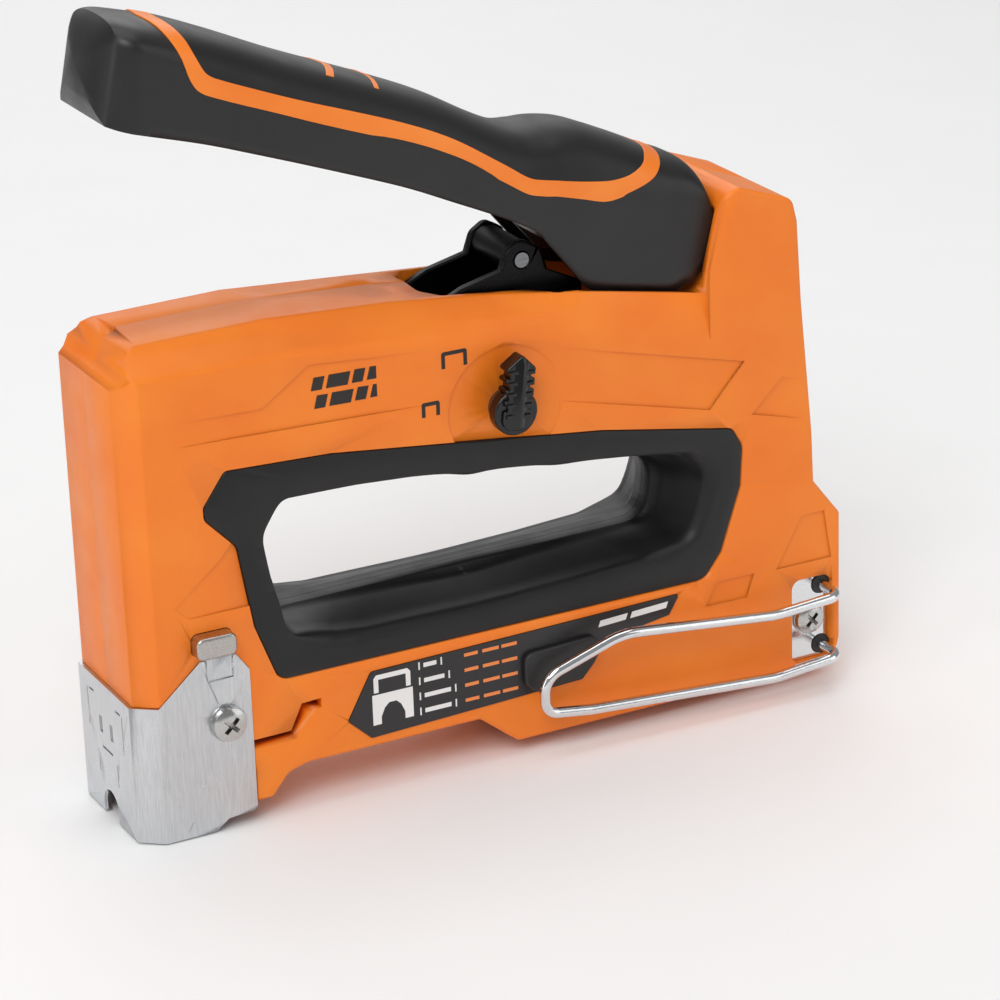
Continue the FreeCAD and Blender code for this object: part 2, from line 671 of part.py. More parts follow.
def lever_shell():
    above_trim = side_slab(trim_line(3.2), -lever_half - 1, lever_half + 1)
    return lever_body().cut(above_trim).cut(lever_cavity(lever_half - lever_wall, 0))


def lever_trim():
    lower = side_slab(trim_line(3.2), -lever_half - 1, lever_half + 1)
    upper = side_slab(trim_line(0), -lever_half - 1, lever_half + 1)
    return lever_body().common(lower).cut(upper)


def lever_grip():
    upper = side_slab(trim_line(0), -lever_half - 1, lever_half + 1)
    return lever_body().common(upper)


def lever_channel():
    """Pressed steel channel inside the shell: walls on the pivot pin, web over the roller."""
    outer = lever_half - lever_wall - seat
    web_low = (roller_x, roller_z + roller_r + 0.9)
    room = lever_cavity(outer, seat)
    limit = side_slab([(30, above(42.0)), (30, above(60)), (pivot_x + 7.9, above(60)),
                       (pivot_x + 6.5, above(1.4)), (rear(54.4), above(4.4)), (rear(65.4), above(17.6)),
                       (rear(73.3), above(21.2)), (rear(93.8), above(30.7))], -outer, outer)
    slope = math.tan(math.radians(20))
    inner = side_slab([(20, web_low[1] + (web_low[0] - 20) * slope),
                       (rear(52), web_low[1] - (rear(52) - web_low[0]) * slope),
                       (pivot_x - 5, pivot_z + lug_r + gap + 0.5),
                       (pivot_x + 10, pivot_z + lug_r + gap + 0.5),
                       (pivot_x + 10, above(-20)), (20, above(-20))],
                      -outer + channel_t, outer - channel_t)
    pin = rod_y(pivot_x, pivot_z, pivot_pin_r + running, -20, 20)
    return room.common(limit).cut(inner).cut(pin)


def pivot_pin():
    end = lever_half - lever_wall - 0.2
    return rod_y(pivot_x, pivot_z, pivot_pin_r, -end, end)


def lever_spring():
    """Torsion spring coils on the pivot pin, one each side of the lug."""
    inner_wall = lever_half - lever_wall - seat - channel_t
    coil = tube_y(pivot_x, pivot_z, pivot_pin_r + 1.5, pivot_pin_r + 0.3, -inner_wall + gap, -lug_half - 0.1)
    return both_sides(coil)


# ---- Selector ----

def selector_knob():
    """Pointer knob with ribbed edges on a round hub."""
    face = -knob_face
    low = -knob_hub_r
    ribs = 4
    pitch = (knob_reach - 3.0) / ribs
    points = [(0, knob_reach), (-knob_half, knob_reach - 2.6)]
    edge = [(0.0, 0.25), (0.9, 0.35), (0.9, 0.75), (0.0, 0.85)]
    for i in range(ribs):
        start = knob_reach - 2.8 - i * pitch
        points += [(-knob_half + cut, start - part * pitch) for cut, part in edge]
    points += [(-knob_half, -1.0), (-knob_half, low + 1.2, 2.2), (knob_half, low + 1.2, 2.2),
               (knob_half, -1.0)]
    for i in reversed(range(ribs)):
        start = knob_reach - 2.8 - i * pitch
        points += [(knob_half - cut, start - part * pitch) for cut, part in reversed(edge)]
    points.append((knob_half, knob_reach - 2.6))
    shifted = [(p[0] + selector_x, p[1] + selector_z) + tuple(p[2:]) for p in points]
    knob = side_slab(shifted, face, face + knob_t)
    hub = rod_y(selector_x, selector_z, knob_hub_r, face + 0.8, face + knob_t)
    knob = fused(knob, hub).cut(rod_y(selector_x, selector_z, shaft_r, face + 1.6, face + knob_t + 1))
    knob.rotate(V(selector_x, 0, selector_z), V(0, 1, 0), knob_tilt)
    return knob


def selector_shaft():
    """Stepped shaft: journal in the housing wall, spindle to the cam."""
    face = -knob_face + 1.6
    journal = rod_y(selector_x, selector_z, knob_hub_r - 1.2, -knob_face + knob_t, -bar_half + 0.9)
    return fused(rod_y(selector_x, selector_z, shaft_r, face, collar_y[1]), journal)


def selector_cam():
    """Eccentric on the spindle that limits the hammer's stroke."""
    disc = rod_y(selector_x - cam_offset, selector_z, cam_r, -bar_half + 1.2, -9.6)
    return disc.cut(rod_y(selector_x, selector_z, shaft_r, -20, 0))


def selector_collar():
    """Collar that carries the spindle and slides in when the knob is pushed."""
    return tube_y(selector_x, selector_z, shaft_r + 1.6, shaft_r + running, *collar_y)


def selector_spring():
    return tube_y(selector_x, selector_z, 3.2, 2.2, collar_y[1] + push + 0.2, -0.3)


# ---- Belt hook ----

def belt_hook():
    """One bent wire: two legs with a rounded tip, each turned in to the housing at the tail."""
    y = -hook_y
    inside = -tunnel_half - 1.0
    path = [(V(hook_root_x, inside, hook_upper_z), 0), (V(hook_root_x, y, hook_upper_z), 2.6),
            (V(rear(19.1), y, hook_upper_z - 0.9), 20), (V(rear(54.0), y + 0.5, 23.2), 16),
            (V(rear(71.2), y + 1.2, 17.3), 4.5), (V(rear(71.0), y + 1.6, 9.6), 3.2),
            (V(rear(61.0), y + 1.2, 8.3), 8), (V(rear(19.1), y, hook_lower_z - 1.3), 20),
            (V(hook_root_x, y, hook_lower_z), 2.6), (V(hook_root_x, inside, hook_lower_z), 0)]
    spine = rounded_path(path, False)
    profile = Part.Wire(Part.makeCircle(wire_r, path[0][0], V(0, 1, 0)))
    return spine.makePipeShell([profile], True, False)


def hook_plate():
    """Bright plate in the bottom of the recess, holed for the wire's bushes and the screw."""
    inner = -half_width + recess_depth
    x0, x1 = recess_x[0] + seat, recess_x[1] - seat
    z0, z1 = recess_z[0] + seat, recess_z[1] - seat
    plate = side_slab([(x0, z0, 1.9), (x0, z1, 1.9), (x1, z1, 1.9), (x1, z0, 1.9)],
                      inner - hook_plate_t, inner)
    cutters = [rod_y(rear(7.1), 13.6, hook_screw_r + seat, -20, 0)]
    for z in (hook_lower_z, hook_upper_z):
        cutters.append(rod_y(hook_root_x, z, wire_r + 0.9, -20, 0))
    return cut_all(plate, cutters)


def hook_bushes():
    face = -half_width + recess_depth - hook_plate_t
    bushes = []
    for z in (hook_lower_z, hook_upper_z):
        bushes.append(tube_y(hook_root_x, z, wire_r + 0.9, wire_r, face - 0.3, -tunnel_half - 1.0))
    return Part.makeCompound(bushes)


def hook_screw():
    face = -half_width + recess_depth - hook_plate_t
    head = rod_y(rear(7.1), 13.6, hook_screw_head_r, face - 2.0, face)
    head = head.makeFillet(1.1, [head.Edges[2]])
    return fused(head, rod_y(rear(7.1), 13.6, hook_screw_r, face, -tunnel_half - 0.6))


# ---- Magazine ----

def staple_rail():
    """Inverted channel that the staples straddle."""
    solid = block(rail_front, rear(cap_t), -rail_half, rail_half, *rail_z)
    inside = block(rail_front + rail_t, rear(cap_t) + 1, -rail_half + rail_t, rail_half - rail_t,
                   rail_z[0] - 1, rail_z[1] - rail_t)
    return solid.cut(inside)


def magazine_cap():
    side = tunnel_half - gap - 0.1
    return block(rear(cap_t), rear(0.2), -side, side, tunnel_z[0] + gap + 0.1, tunnel_z[1] - gap - 0.1)


def pusher_rod():
    middle = (rail_z[0] + rail_z[1]) / 2
    return rod_x(middle, rod_r, rail_front + rail_t, rear(cap_t))


def pusher_spring():
    middle = (rail_z[0] + rail_z[1]) / 2
    ends = (rail_front + pusher_length, rear(cap_t) - 0.2)
    return rod_x(middle, rod_r + 1.3, *ends).cut(rod_x(middle, rod_r + 0.3, *ends))


def pusher():
    """Frame that slides along the rail behind the staples."""
    inner = rail_half + gap
    outer = inner + pusher_wall
    low, high = rail_z[0] - gap, rail_z[1] + gap
    start = rail_front + 0.2
    frame = block(start, start + pusher_length, -outer, outer, low - 1.2, high + 1.5)
    return frame.cut(block(start - 1, start + pusher_length + 1, -inner, inner, low, high))


def label_panel():
    panel = label_outline(0).extrude(V(0, -label_t, 0))
    panel.translate(V(0, -half_width + label_recess, 0))
    return panel


def hook_pad():
    """Raised pad under the hook's tip."""
    inner = -half_width + label_recess - label_t
    return side_slab([(rear(73.6), 15.0, 2), (rear(73.6), 21.6, 2), (rear(56.4), 22.2, 2),
                      (rear(58.0), 16.4, 2), (rear(61.6), 13.8, 2.5), (rear(71.6), 13.4, 2)],
                     inner - 1.3, inner)


pieces = {
    "housing_left": housing_left,
    "housing_right": housing_right,
    "grip_insert_left": grip_insert,
    "grip_insert_right": lambda: mirrored(grip_insert()),
    "case_screws": case_screws,
    "nose_plate": nose_plate,
    "nose_screws": nose_screws,
    "driver_guide": driver_guide,
    "stop_bar": stop_bar,
    "stop_bumper": stop_bumper,
    "hammer": hammer,
    "driver_blade": driver_blade,
    "main_spring": main_spring,
    "spring_cap": spring_cap,
    "rocker_arm": rocker_arm,
    "rocker_pin": rocker_pin,
    "rocker_roller": rocker_roller,
    "roller_pin": roller_pin,
    "lever_shell": lever_shell,
    "lever_trim": lever_trim,
    "lever_grip": lever_grip,
    "lever_channel": lever_channel,
    "pivot_pin": pivot_pin,
    "lever_spring": lever_spring,
    "selector_knob": selector_knob,
    "selector_shaft": selector_shaft,
    "selector_cam": selector_cam,
    "selector_collar": selector_collar,
    "selector_spring": selector_spring,
    "belt_hook": belt_hook,
    "hook_plate": hook_plate,
    "hook_bushes": hook_bushes,
    "hook_screw": hook_screw,
    "staple_rail": staple_rail,
    "magazine_cap": magazine_cap,
    "pusher_rod": pusher_rod,
    "pusher_spring": pusher_spring,
    "pusher": pusher,
    "label_panel": label_panel,
    "hook_pad": hook_pad,
}

for node, make in pieces.items():
    save(node, make())
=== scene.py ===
"""Looks of a hand staple gun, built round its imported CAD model.

Frame, in metres: x = 0 is the nose plate's front and +X runs to the tail, y = 0 is the joint plane of
the housing halves with the controls on -Y, z = 0 is the nose plate's lowest edge. Positions are written
in millimetres in the tables below and turned to metres by mm().
"""

import json
import math

import bmesh
import bpy
from mathutils import Matrix, Vector
from mathutils.bvhtree import BVHTree


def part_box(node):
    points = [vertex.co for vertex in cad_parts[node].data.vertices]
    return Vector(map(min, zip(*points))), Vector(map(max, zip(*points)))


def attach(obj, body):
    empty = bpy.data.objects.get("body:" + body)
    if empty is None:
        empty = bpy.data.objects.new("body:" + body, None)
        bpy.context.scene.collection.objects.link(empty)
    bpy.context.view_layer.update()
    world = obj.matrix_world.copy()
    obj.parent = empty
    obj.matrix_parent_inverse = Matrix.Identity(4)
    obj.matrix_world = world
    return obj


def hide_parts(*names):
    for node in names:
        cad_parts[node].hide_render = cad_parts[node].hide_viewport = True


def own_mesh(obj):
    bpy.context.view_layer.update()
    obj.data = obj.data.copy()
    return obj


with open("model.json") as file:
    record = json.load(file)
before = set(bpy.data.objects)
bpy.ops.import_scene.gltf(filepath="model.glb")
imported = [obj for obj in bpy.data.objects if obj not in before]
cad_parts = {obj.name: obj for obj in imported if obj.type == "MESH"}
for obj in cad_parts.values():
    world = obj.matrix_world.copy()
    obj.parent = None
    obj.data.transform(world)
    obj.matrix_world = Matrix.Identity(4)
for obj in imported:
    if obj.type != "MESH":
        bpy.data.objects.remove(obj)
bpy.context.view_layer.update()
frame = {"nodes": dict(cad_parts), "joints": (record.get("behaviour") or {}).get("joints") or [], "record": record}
NODES = frame["nodes"]
UNIT = 0.001


def mm(*values):
    """Millimetres to a vector in metres."""
    return Vector(values) * UNIT


# ---- Sizes taken from the frame ----
housing_low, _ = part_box("housing_left")
SIDE = -housing_low.y / UNIT
_, plate_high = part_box("nose_plate")
PLATE_SIDE = plate_high.y / UNIT
_, lever_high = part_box("lever_shell")
LEVER_SIDE = lever_high.y / UNIT

BODY_OF = {node: body for body, nodes in frame["record"]["behaviour"]["bodies"].items() for node in nodes}
JOINT_AT = {joint["name"]: Vector(joint["pos_m"]) for joint in frame["joints"] if "pos_m" in joint}


# ---- Colours ----
def srgb(hex_code, alpha=1.0):
    """sRGB hex to a linear colour."""
    parts = [int(hex_code[i:i + 2], 16) / 255 for i in (0, 2, 4)]
    line = [p / 12.92 if p <= 0.04045 else ((p + 0.055) / 1.055) ** 2.4 for p in parts]
    return (*line, alpha)


# ---- Node helper ----
def add(tree, kind, **links):
    """Adds a node; each keyword is an input by name: a socket to link, or a value to set."""
    node = tree.nodes.new(kind)
    for key, value in links.items():
        socket = node.inputs[key.replace("_", " ")]
        if isinstance(value, bpy.types.NodeSocket):
            tree.links.new(value, socket)
        else:
            socket.default_value = value
    return node


def new_material(name, **settings):
    """Empty material with a Principled shader whose constant inputs are settings."""
    material = bpy.data.materials.new(name)
    material.use_nodes = True
    tree = material.node_tree
    tree.nodes.clear()
    shader = add(tree, "ShaderNodeBsdfPrincipled", **settings)
    out = tree.nodes.new("ShaderNodeOutputMaterial")
    tree.links.new(shader.outputs["BSDF"], out.inputs["Surface"])
    return material, tree, shader


def object_coordinates(tree, scale=(1, 1, 1)):
    """Object coordinates, squeezed or stretched by scale."""
    coordinates = tree.nodes.new("ShaderNodeTexCoord").outputs["Object"]
    mapping = add(tree, "ShaderNodeMapping", Vector=coordinates, Scale=scale)
    return mapping.outputs["Vector"]


def grain(tree, grain_mm, detail=2.0, roughness=0.5, vector=None):
    """Noise whose lumps are about grain_mm across."""
    where = vector or object_coordinates(tree)
    return add(tree, "ShaderNodeTexNoise", Vector=where, Scale=1 / (grain_mm * UNIT), Detail=detail,
               Roughness=roughness).outputs["Fac"]


def spread(tree, value, low, high, out_low=0.0, out_high=1.0):
    """Stretches value from low..high to out_low..out_high."""
    node = tree.nodes.new("ShaderNodeMapRange")
    tree.links.new(value, node.inputs["Value"])
    for name, number in zip(("From Min", "From Max", "To Min", "To Max"), (low, high, out_low, out_high)):
        node.inputs[name].default_value = number
    return node.outputs["Result"]


def two_colours(tree, factor, dark, light):
    """Blend from dark to light by factor."""
    node = tree.nodes.new("ShaderNodeMix")
    node.data_type = "RGBA"
    tree.links.new(factor, node.inputs["Factor"])
    node.inputs["A"].default_value = dark
    node.inputs["B"].default_value = light
    return node.outputs["Result"]


def bumped(tree, shader, height, distance_mm):
    """Relief of the given depth on the shader's normal."""
    bump = add(tree, "ShaderNodeBump", Height=height, Distance=distance_mm * UNIT, Strength=1.0)
    tree.links.new(bump.outputs["Normal"], shader.inputs["Normal"])


def moulded(name, dark, light, roughness, grain_mm, depth_mm, **settings):
    """Injection-moulded plastic: spark-eroded grain, slow drift of colour and gloss."""
    material, tree, shader = new_material(name, **settings)
    drift = grain(tree, 18, 3)
    colour = two_colours(tree, spread(tree, drift, 0.3, 0.7), srgb(dark), srgb(light))
    tree.links.new(colour, shader.inputs["Base Color"])
    fine = grain(tree, grain_mm, 2, 0.6)
    gloss = spread(tree, grain(tree, 6, 3), 0.3, 0.7, roughness - 0.05, roughness + 0.05)
    tree.links.new(gloss, shader.inputs["Roughness"])
    bumped(tree, shader, fine, depth_mm)
    return material


def brushed(name, dark, light, roughness, along, **settings):
    """Metal with fine parallel scratches; along gives how far they stretch on x, y, z."""
    material, tree, shader = new_material(name, Metallic=1.0, **settings)
    stretched = object_coordinates(tree, along)
    lines = grain(tree, 0.25, 3, 0.6, stretched)
    colour = two_colours(tree, spread(tree, lines, 0.3, 0.7), srgb(dark), srgb(light))
    tree.links.new(colour, shader.inputs["Base Color"])
    cloudy = grain(tree, 7, 4)
    tree.links.new(spread(tree, cloudy, 0.3, 0.7, roughness - 0.06, roughness + 0.08),
                   shader.inputs["Roughness"])
    bumped(tree, shader, lines, 0.01)
    return material


# Orange ABS, moulded in a spark-eroded tool: satin with a fine even grain.
orange_abs = moulded("moulded_orange_abs", "EF760F", "F4831A", 0.44, 0.35, 0.02, IOR=1.5)
# The trim is the same ABS from a smoother tool.
orange_trim = moulded("smooth_orange_abs", "F07A18", "F58828", 0.4, 0.5, 0.006, IOR=1.5)
# Soft overmoulded TPE: near black, matt, with a faint bloom at grazing angles.
black_tpe = moulded("overmoulded_black_tpe", "0C0C0D", "131314", 0.46, 0.3, 0.02,
                    Sheen_Weight=0.08, Sheen_Roughness=0.4, IOR=1.45)
# Glass-filled nylon lever cover: charcoal, a little shinier than the TPE.
black_nylon = moulded("glass_filled_nylon", "0D0D0E", "141415", 0.42, 0.4, 0.015, IOR=1.53)
# Knob: acetal from a polished tool.
black_acetal = moulded("polished_black_acetal", "0B0B0B", "121212", 0.22, 1.5, 0.01, IOR=1.48)
# Satin label film with a sealed face.
label_film = moulded("satin_label_film", "201F21", "272628", 0.34, 0.8, 0.003, IOR=1.5)
white_ink = moulded("white_screen_ink", "E6E4E2", "F2F0EE", 0.5, 0.4, 0.004, IOR=1.5)
orange_ink = moulded("orange_screen_ink", "EC8340", "F39150", 0.5, 0.4, 0.004, IOR=1.5)
black_ink = moulded("black_pad_print", "17120F", "221B16", 0.5, 0.3, 0.01, IOR=1.5)
# Inner mouldings: nylon coloured black.
inner_nylon = moulded("natural_black_nylon", "1B1B1C", "242425", 0.5, 0.5, 0.01, IOR=1.53)
bumper_rubber = moulded("nitrile_rubber", "131313", "1B1B1B", 0.7, 0.4, 0.02, IOR=1.52)
# Nose plate: cold-rolled steel, satin nickel plated, brushed up and down before plating.
satin_nickel = brushed("satin_nickel_plate", "C4C6C9", "D6D8DA", 0.30, (1, 1, 0.06))
# Stop bar: burnished, with blunt marks from the press.
burnished_steel = brushed("burnished_steel", "A9A5A1", "C6C2BD", 0.3, (1, 0.3, 1))
plain_steel = brushed("cold_rolled_steel", "77797B", "8F9193", 0.38, (0.1, 1, 1))
spring_wire = brushed("oiled_spring_wire", "4A4B4D", "6A6C6E", 0.3, (1, 1, 1))
brass_turned = brushed("turned_brass", "A8874A", "C29C58", 0.3, (1, 0.2, 1))
# Hook and its seat: bright chrome.
bright_chrome = brushed("bright_chrome", "D9DBDD", "E6E8EA", 0.1, (0.2, 1, 1))
nickel_screw = brushed("nickel_plated_screw", "B4B4B2", "CFCFCD", 0.2, (1, 1, 1))
# Rocker: steel with a black oxide skin, worn to a dull shine.
black_oxide = brushed("black_oxide_steel", "1A1A1B", "2A2A2C", 0.4, (1, 1, 1))


# ---- Camera, lights, floor ----
CAMERA_ANGLES = (26.917, 21.60, 1.937)   # azimuth left of the side view, elevation and roll, in degrees
CAMERA_PLACE = (-231.2, -624.3, 324.7)
LENS_MM = 137.45


def studio():
    """Long lens at the tool's left front, a little above it; pale floor and large soft lamps."""
    scene = bpy.context.scene
    azimuth, elevation, roll = (math.radians(a) for a in CAMERA_ANGLES)
    back = Vector((-math.sin(azimuth) * math.cos(elevation), -math.cos(azimuth) * math.cos(elevation),
                   math.sin(elevation)))
    level = Vector((math.cos(azimuth), -math.sin(azimuth), 0))
    up = back.cross(level)
    right = level * math.cos(roll) - up * math.sin(roll)
    top = level * math.sin(roll) + up * math.cos(roll)
    lens = bpy.data.cameras.new("camera")
    lens.sensor_width = 36
    lens.lens = LENS_MM
    lens.clip_start = 0.05
    camera = bpy.data.objects.new("camera", lens)
    turn = Matrix((right, top, back)).transposed().to_4x4()
    camera.matrix_world = Matrix.Translation(mm(*CAMERA_PLACE)) @ turn
    scene.collection.objects.link(camera)
    scene.camera = camera

    def lamp(name, place, aim, size, watts, colour=(1, 1, 1)):
        light = bpy.data.lights.new(name, "AREA")
        light.shape = "RECTANGLE"
        light.size, light.size_y = size
        light.energy = watts
        light.color = colour
        holder = bpy.data.objects.new(name, light)
        direction = (Vector(place) - Vector(aim)).to_track_quat("Z", "Y")
        holder.matrix_world = Matrix.Translation(Vector(place)) @ direction.to_matrix().to_4x4()
        scene.collection.objects.link(holder)

    middle = (0.08, 0, 0.07)
    lamp("key_softbox", (-0.55, -0.75, 0.95), middle, (0.7, 0.7), 8.0)
    lamp("fill_softbox", (0.95, -0.85, 0.45), middle, (0.8, 1.0), 2.6)
    lamp("top_softbox", (0.1, 0.1, 1.1), middle, (1.1, 0.9), 4.5)
    lamp("nose_strip", (-0.9, -0.1, 0.35), middle, (0.25, 0.9), 1.4)
    lamp("back_softbox", (0.3, 0.9, 0.6), middle, (1.0, 0.6), 2.5)
    world = bpy.data.worlds.new("studio")
    world.use_nodes = True
    world.node_tree.nodes["Background"].inputs["Color"].default_value = (1, 1, 1, 1)
    world.node_tree.nodes["Background"].inputs["Strength"].default_value = 0.3
    scene.world = world
    scene.view_settings.view_transform = "Standard"
    bpy.ops.mesh.primitive_plane_add(size=40, location=(0, 0, -0.0004))
    floor = bpy.context.object
    floor.name = "floor"
    paper, tree, shader = new_material("floor_paper", Roughness=0.9)
    shade = two_colours(tree, grain(tree, 30, 2), srgb("F3F3F3"), srgb("F6F6F6"))
    tree.links.new(shade, shader.inputs["Base Color"])
    floor.data.materials.append(paper)


studio()


# ---- Meshes ----
def mesh_object(name, points, faces, material, sharp=35, mend=True):
    """Object from points in millimetres; edges turned more than sharp degrees are shaded crisp."""
    mesh = bpy.data.meshes.new(name)
    mesh.from_pydata([Vector(p) * UNIT for p in points], [], faces)
    if mend:
        shell = bmesh.new()
        shell.from_mesh(mesh)
        bmesh.ops.remove_doubles(shell, verts=shell.verts, dist=0.002 * UNIT)
        bmesh.ops.dissolve_degenerate(shell, dist=0.001 * UNIT, edges=shell.edges)
        bmesh.ops.recalc_face_normals(shell, faces=shell.faces)
        shell.to_mesh(mesh)
        shell.free()
    mesh.shade_smooth()
    mesh.set_sharp_from_angle(angle=math.radians(sharp))
    mesh.materials.append(material)
    piece = bpy.data.objects.new(name, mesh)
    bpy.context.scene.collection.objects.link(piece)
    return piece


def made_plain(piece, sharp=35):
    """Turns the evaluated piece into its own plain mesh and drops its modifiers."""
    graph = bpy.context.evaluated_depsgraph_get()
    mesh = bpy.data.meshes.new_from_object(piece.evaluated_get(graph))
    piece.modifiers.clear()
    piece.data = mesh
    mesh.shade_smooth()
    mesh.set_sharp_from_angle(angle=math.radians(sharp))


def prism(outline, y0, y1):
    """Points and faces of a side-view outline in x, z, run from y0 to y1."""
    count = len(outline)
    points = [(x, y0, z) for x, z in outline] + [(x, y1, z) for x, z in outline]
    faces = [tuple(range(count)), tuple(reversed(range(count, 2 * count)))]
    faces += [(i, i + count, (i + 1) % count + count, (i + 1) % count) for i in range(count)]
    return points, faces


def turned(profile, centre, toward, steps=40):
    """Points and faces of a profile of (radius, height) turned about toward through centre."""
    axis = Vector(toward).normalized()
    across = axis.orthogonal().normalized()
    other = axis.cross(across)
    points = []
    for radius, height in profile:
        for i in range(steps):
            angle = math.tau * i / steps
            around = across * math.cos(angle) + other * math.sin(angle)
            points.append(Vector(centre) + around * radius + axis * height)
    faces = []
    for j in range(len(profile) - 1):
        for i in range(steps):
            k = (i + 1) % steps
            faces.append((j * steps + i, j * steps + k, (j + 1) * steps + k, (j + 1) * steps + i))
    faces += [tuple(reversed(range(steps))),
              tuple(range((len(profile) - 1) * steps, len(profile) * steps))]
    return points, faces


def joined(*parts):
    """One set of points and faces from several."""
    points, faces = [], []
    for more, loops in parts:
        faces += [tuple(i + len(points) for i in loop) for loop in loops]
        points += [Vector(p) for p in more]
    return points, faces


def cut_with(piece, parts):
    """Sinks each closed part into the piece."""
    for points, faces in parts:
        tool = mesh_object("tool", points, faces, piece.data.materials[0])
        cut = piece.modifiers.new("cut", "BOOLEAN")
        cut.operation = "DIFFERENCE"
        cut.object = tool
        made_plain(piece)
        bpy.data.objects.remove(tool)


# ---- Rounded copies of the hard parts ----
def merged_copy(node, material):
    """Copy of a CAD node's mesh as one connected shell."""
    mesh = NODES[node].data.copy()
    mesh.materials.clear()
    mesh.materials.append(material)
    shell = bmesh.new()
    shell.from_mesh(mesh)
    bmesh.ops.remove_doubles(shell, verts=shell.verts, dist=0.004 * UNIT)
    shell.to_mesh(mesh)
    shell.free()
    piece = bpy.data.objects.new(node + "_body", mesh)
    bpy.context.scene.collection.objects.link(piece)
    return piece


def rounded_copy(node, material, width=0.5, rim=0.4, least=18):
    """Copy of a CAD node whose outer convex edges are rounded; rim is the share used round openings."""
    piece = merged_copy(node, material)
    mesh = piece.data
    shell = bmesh.new()
    shell.from_mesh(mesh)
    bmesh.ops.dissolve_limit(shell, angle_limit=math.radians(0.7), verts=shell.verts, edges=shell.edges)
    weight = shell.edges.layers.float.new("bevel_weight_edge")
    shape = BVHTree.FromBMesh(shell)
    start = 0.03 * UNIT
    for edge in shell.edges:
        if len(edge.link_faces) != 2 or not edge.is_convex:
            continue
        if edge.calc_face_angle(0) < math.radians(least):
            continue
        middle = (edge.verts[0].co + edge.verts[1].co) / 2
        normals = [face.normal for face in edge.link_faces]
        out = (normals[0] + normals[1]).normalized()
        if shape.ray_cast(middle + out * start, out)[0]:
            continue
        walled = any(shape.ray_cast(middle + out * start + n * start, n)[0] for n in normals)
        edge[weight] = rim if walled else 1.0
    shell.to_mesh(mesh)
    shell.free()
    mesh.shade_smooth()
    mesh.set_sharp_from_angle(angle=math.radians(30))
    bevel = piece.modifiers.new("round", "BEVEL")
    bevel.limit_method = "WEIGHT"
    bevel.width = width * UNIT
    bevel.segments = 3
    bevel.use_clamp_overlap = False
    bevel.harden_normals = True
    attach(piece, BODY_OF[node])
    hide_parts(node)


# ---- Lever: skin, trim and soft grip on one curved surface ----
# Stations from nose to tail: bottom and top of the section in x, z, and the height of its crown.
LEVER_STATIONS = [
    ((4.4, 139.4), (8.2, 157.2), 4.0), ((8.7, 137.8), (11.4, 156.9), 5.0),
    ((21.8, 133.9), (20, 154.6), 8.0), ((32, 130.3), (30, 150.6), 9.5), ((45, 125.5), (43, 144.8), 10),
    ((61.1, 119.3), (60, 137.9), 10), ((72, 114.3), (72, 132.6), 10), ((81.6, 109.8), (82, 127.0), 10),
    ((86.5, 107.2), (88, 124.2), 10), ((89.5, 105.3), (93, 123.6), 10),
    ((91.5, 102.8), (97, 123.5), 10), ((95.7, 97.6), (102, 122.6), 10),
    ((99.9, 92.4), (107, 120.6), 10), ((104, 90.6), (111, 118.8), 10), ((110, 89.4), (115, 116.9), 10),
    ((117.6, 88.0), (119, 114.9), 9), ((120.5, 89.2), (122, 113.8), 8),
    ((123.1, 89.9), (125.5, 112), 7), ((126.6, 93.6), (127, 109), 5), ((127.9, 100), (127.9, 103), 1.2),
]
FLANK = 0.45         # share of the half section that is flat flank; the rest is crown
CROWN_POWER = 2.6    # squareness of the crown


def eased(table, u):
    """Smooth value of a table of number lists at the fractional row u."""
    last = len(table) - 1
    u = min(max(u, 0), last - 1e-9)
    i = int(u)
    t = u - i
    a, b, c, d = (table[min(max(k, 0), last)] for k in (i - 1, i, i + 1, i + 2))
    out = []
    for p, q, r, s in zip(a, b, c, d):
        out.append((2 * t**3 - 3 * t**2 + 1) * q + (t**3 - 2 * t**2 + t) * (r - p) / 2
                   + (3 * t**2 - 2 * t**3) * r + (t**3 - t**2) * (s - q) / 2)
    return out


CAP_HALF = 10.6      # half width of the front face, inside its bevels
CAP_MIDDLE = Vector((6.0, 0, 148.4))
CAP_AXIS = Vector((-0.975, 0, 0.22))
CAP_BULGE = 3.2
LEVER_WALL = 2.2
STATION_ROWS = [(*low, *high, crown) for low, high, crown in LEVER_STATIONS]


def lever_point(u, v):
    """Point of the lever's left half: u is the station, v runs from the lower edge to the top line."""
    x0, z0, x1, z1, crown = eased(STATION_ROWS, u)
    half = CAP_HALF + (LEVER_SIDE - CAP_HALF) * min(max(u, 0), 1)
    height = math.hypot(x1 - x0, z1 - z0)
    crown = min(crown, 0.9 * height)
    if v <= FLANK:
        y, s = -half, (height - crown) * v / FLANK
    else:
        angle = (v - FLANK) / (1 - FLANK) * math.pi / 2
        y = -half * max(math.cos(angle), 0) ** (2 / CROWN_POWER)
        s = height - crown + crown * math.sin(angle) ** (2 / CROWN_POWER)
    share = s / height
    return Vector((x0 + (x1 - x0) * share, y, z0 + (z1 - z0) * share))


def lever_lifted(u, v, lift):
    """Point lifted off the surface along its normal."""
    step = 0.02
    along = lever_point(u + step, v) - lever_point(u - step, v)
    up = lever_point(u, min(v + step, 1)) - lever_point(u, v - step)
    normal = along.cross(up).normalized()
    if v > 0.999:
        normal = Vector((normal.x, 0, normal.z)).normalized()
    if normal.dot(Vector((0, -1, 0.3))) < 0:
        normal = -normal
    return lever_point(u, v) + normal * lift


def grid_faces(rows, columns):
    """Quads over a grid of points listed row by row."""
    starts = [i * columns + j for i in range(rows - 1) for j in range(columns - 1)]
    return [(a, a + 1, a + columns + 1, a + columns) for a in starts]


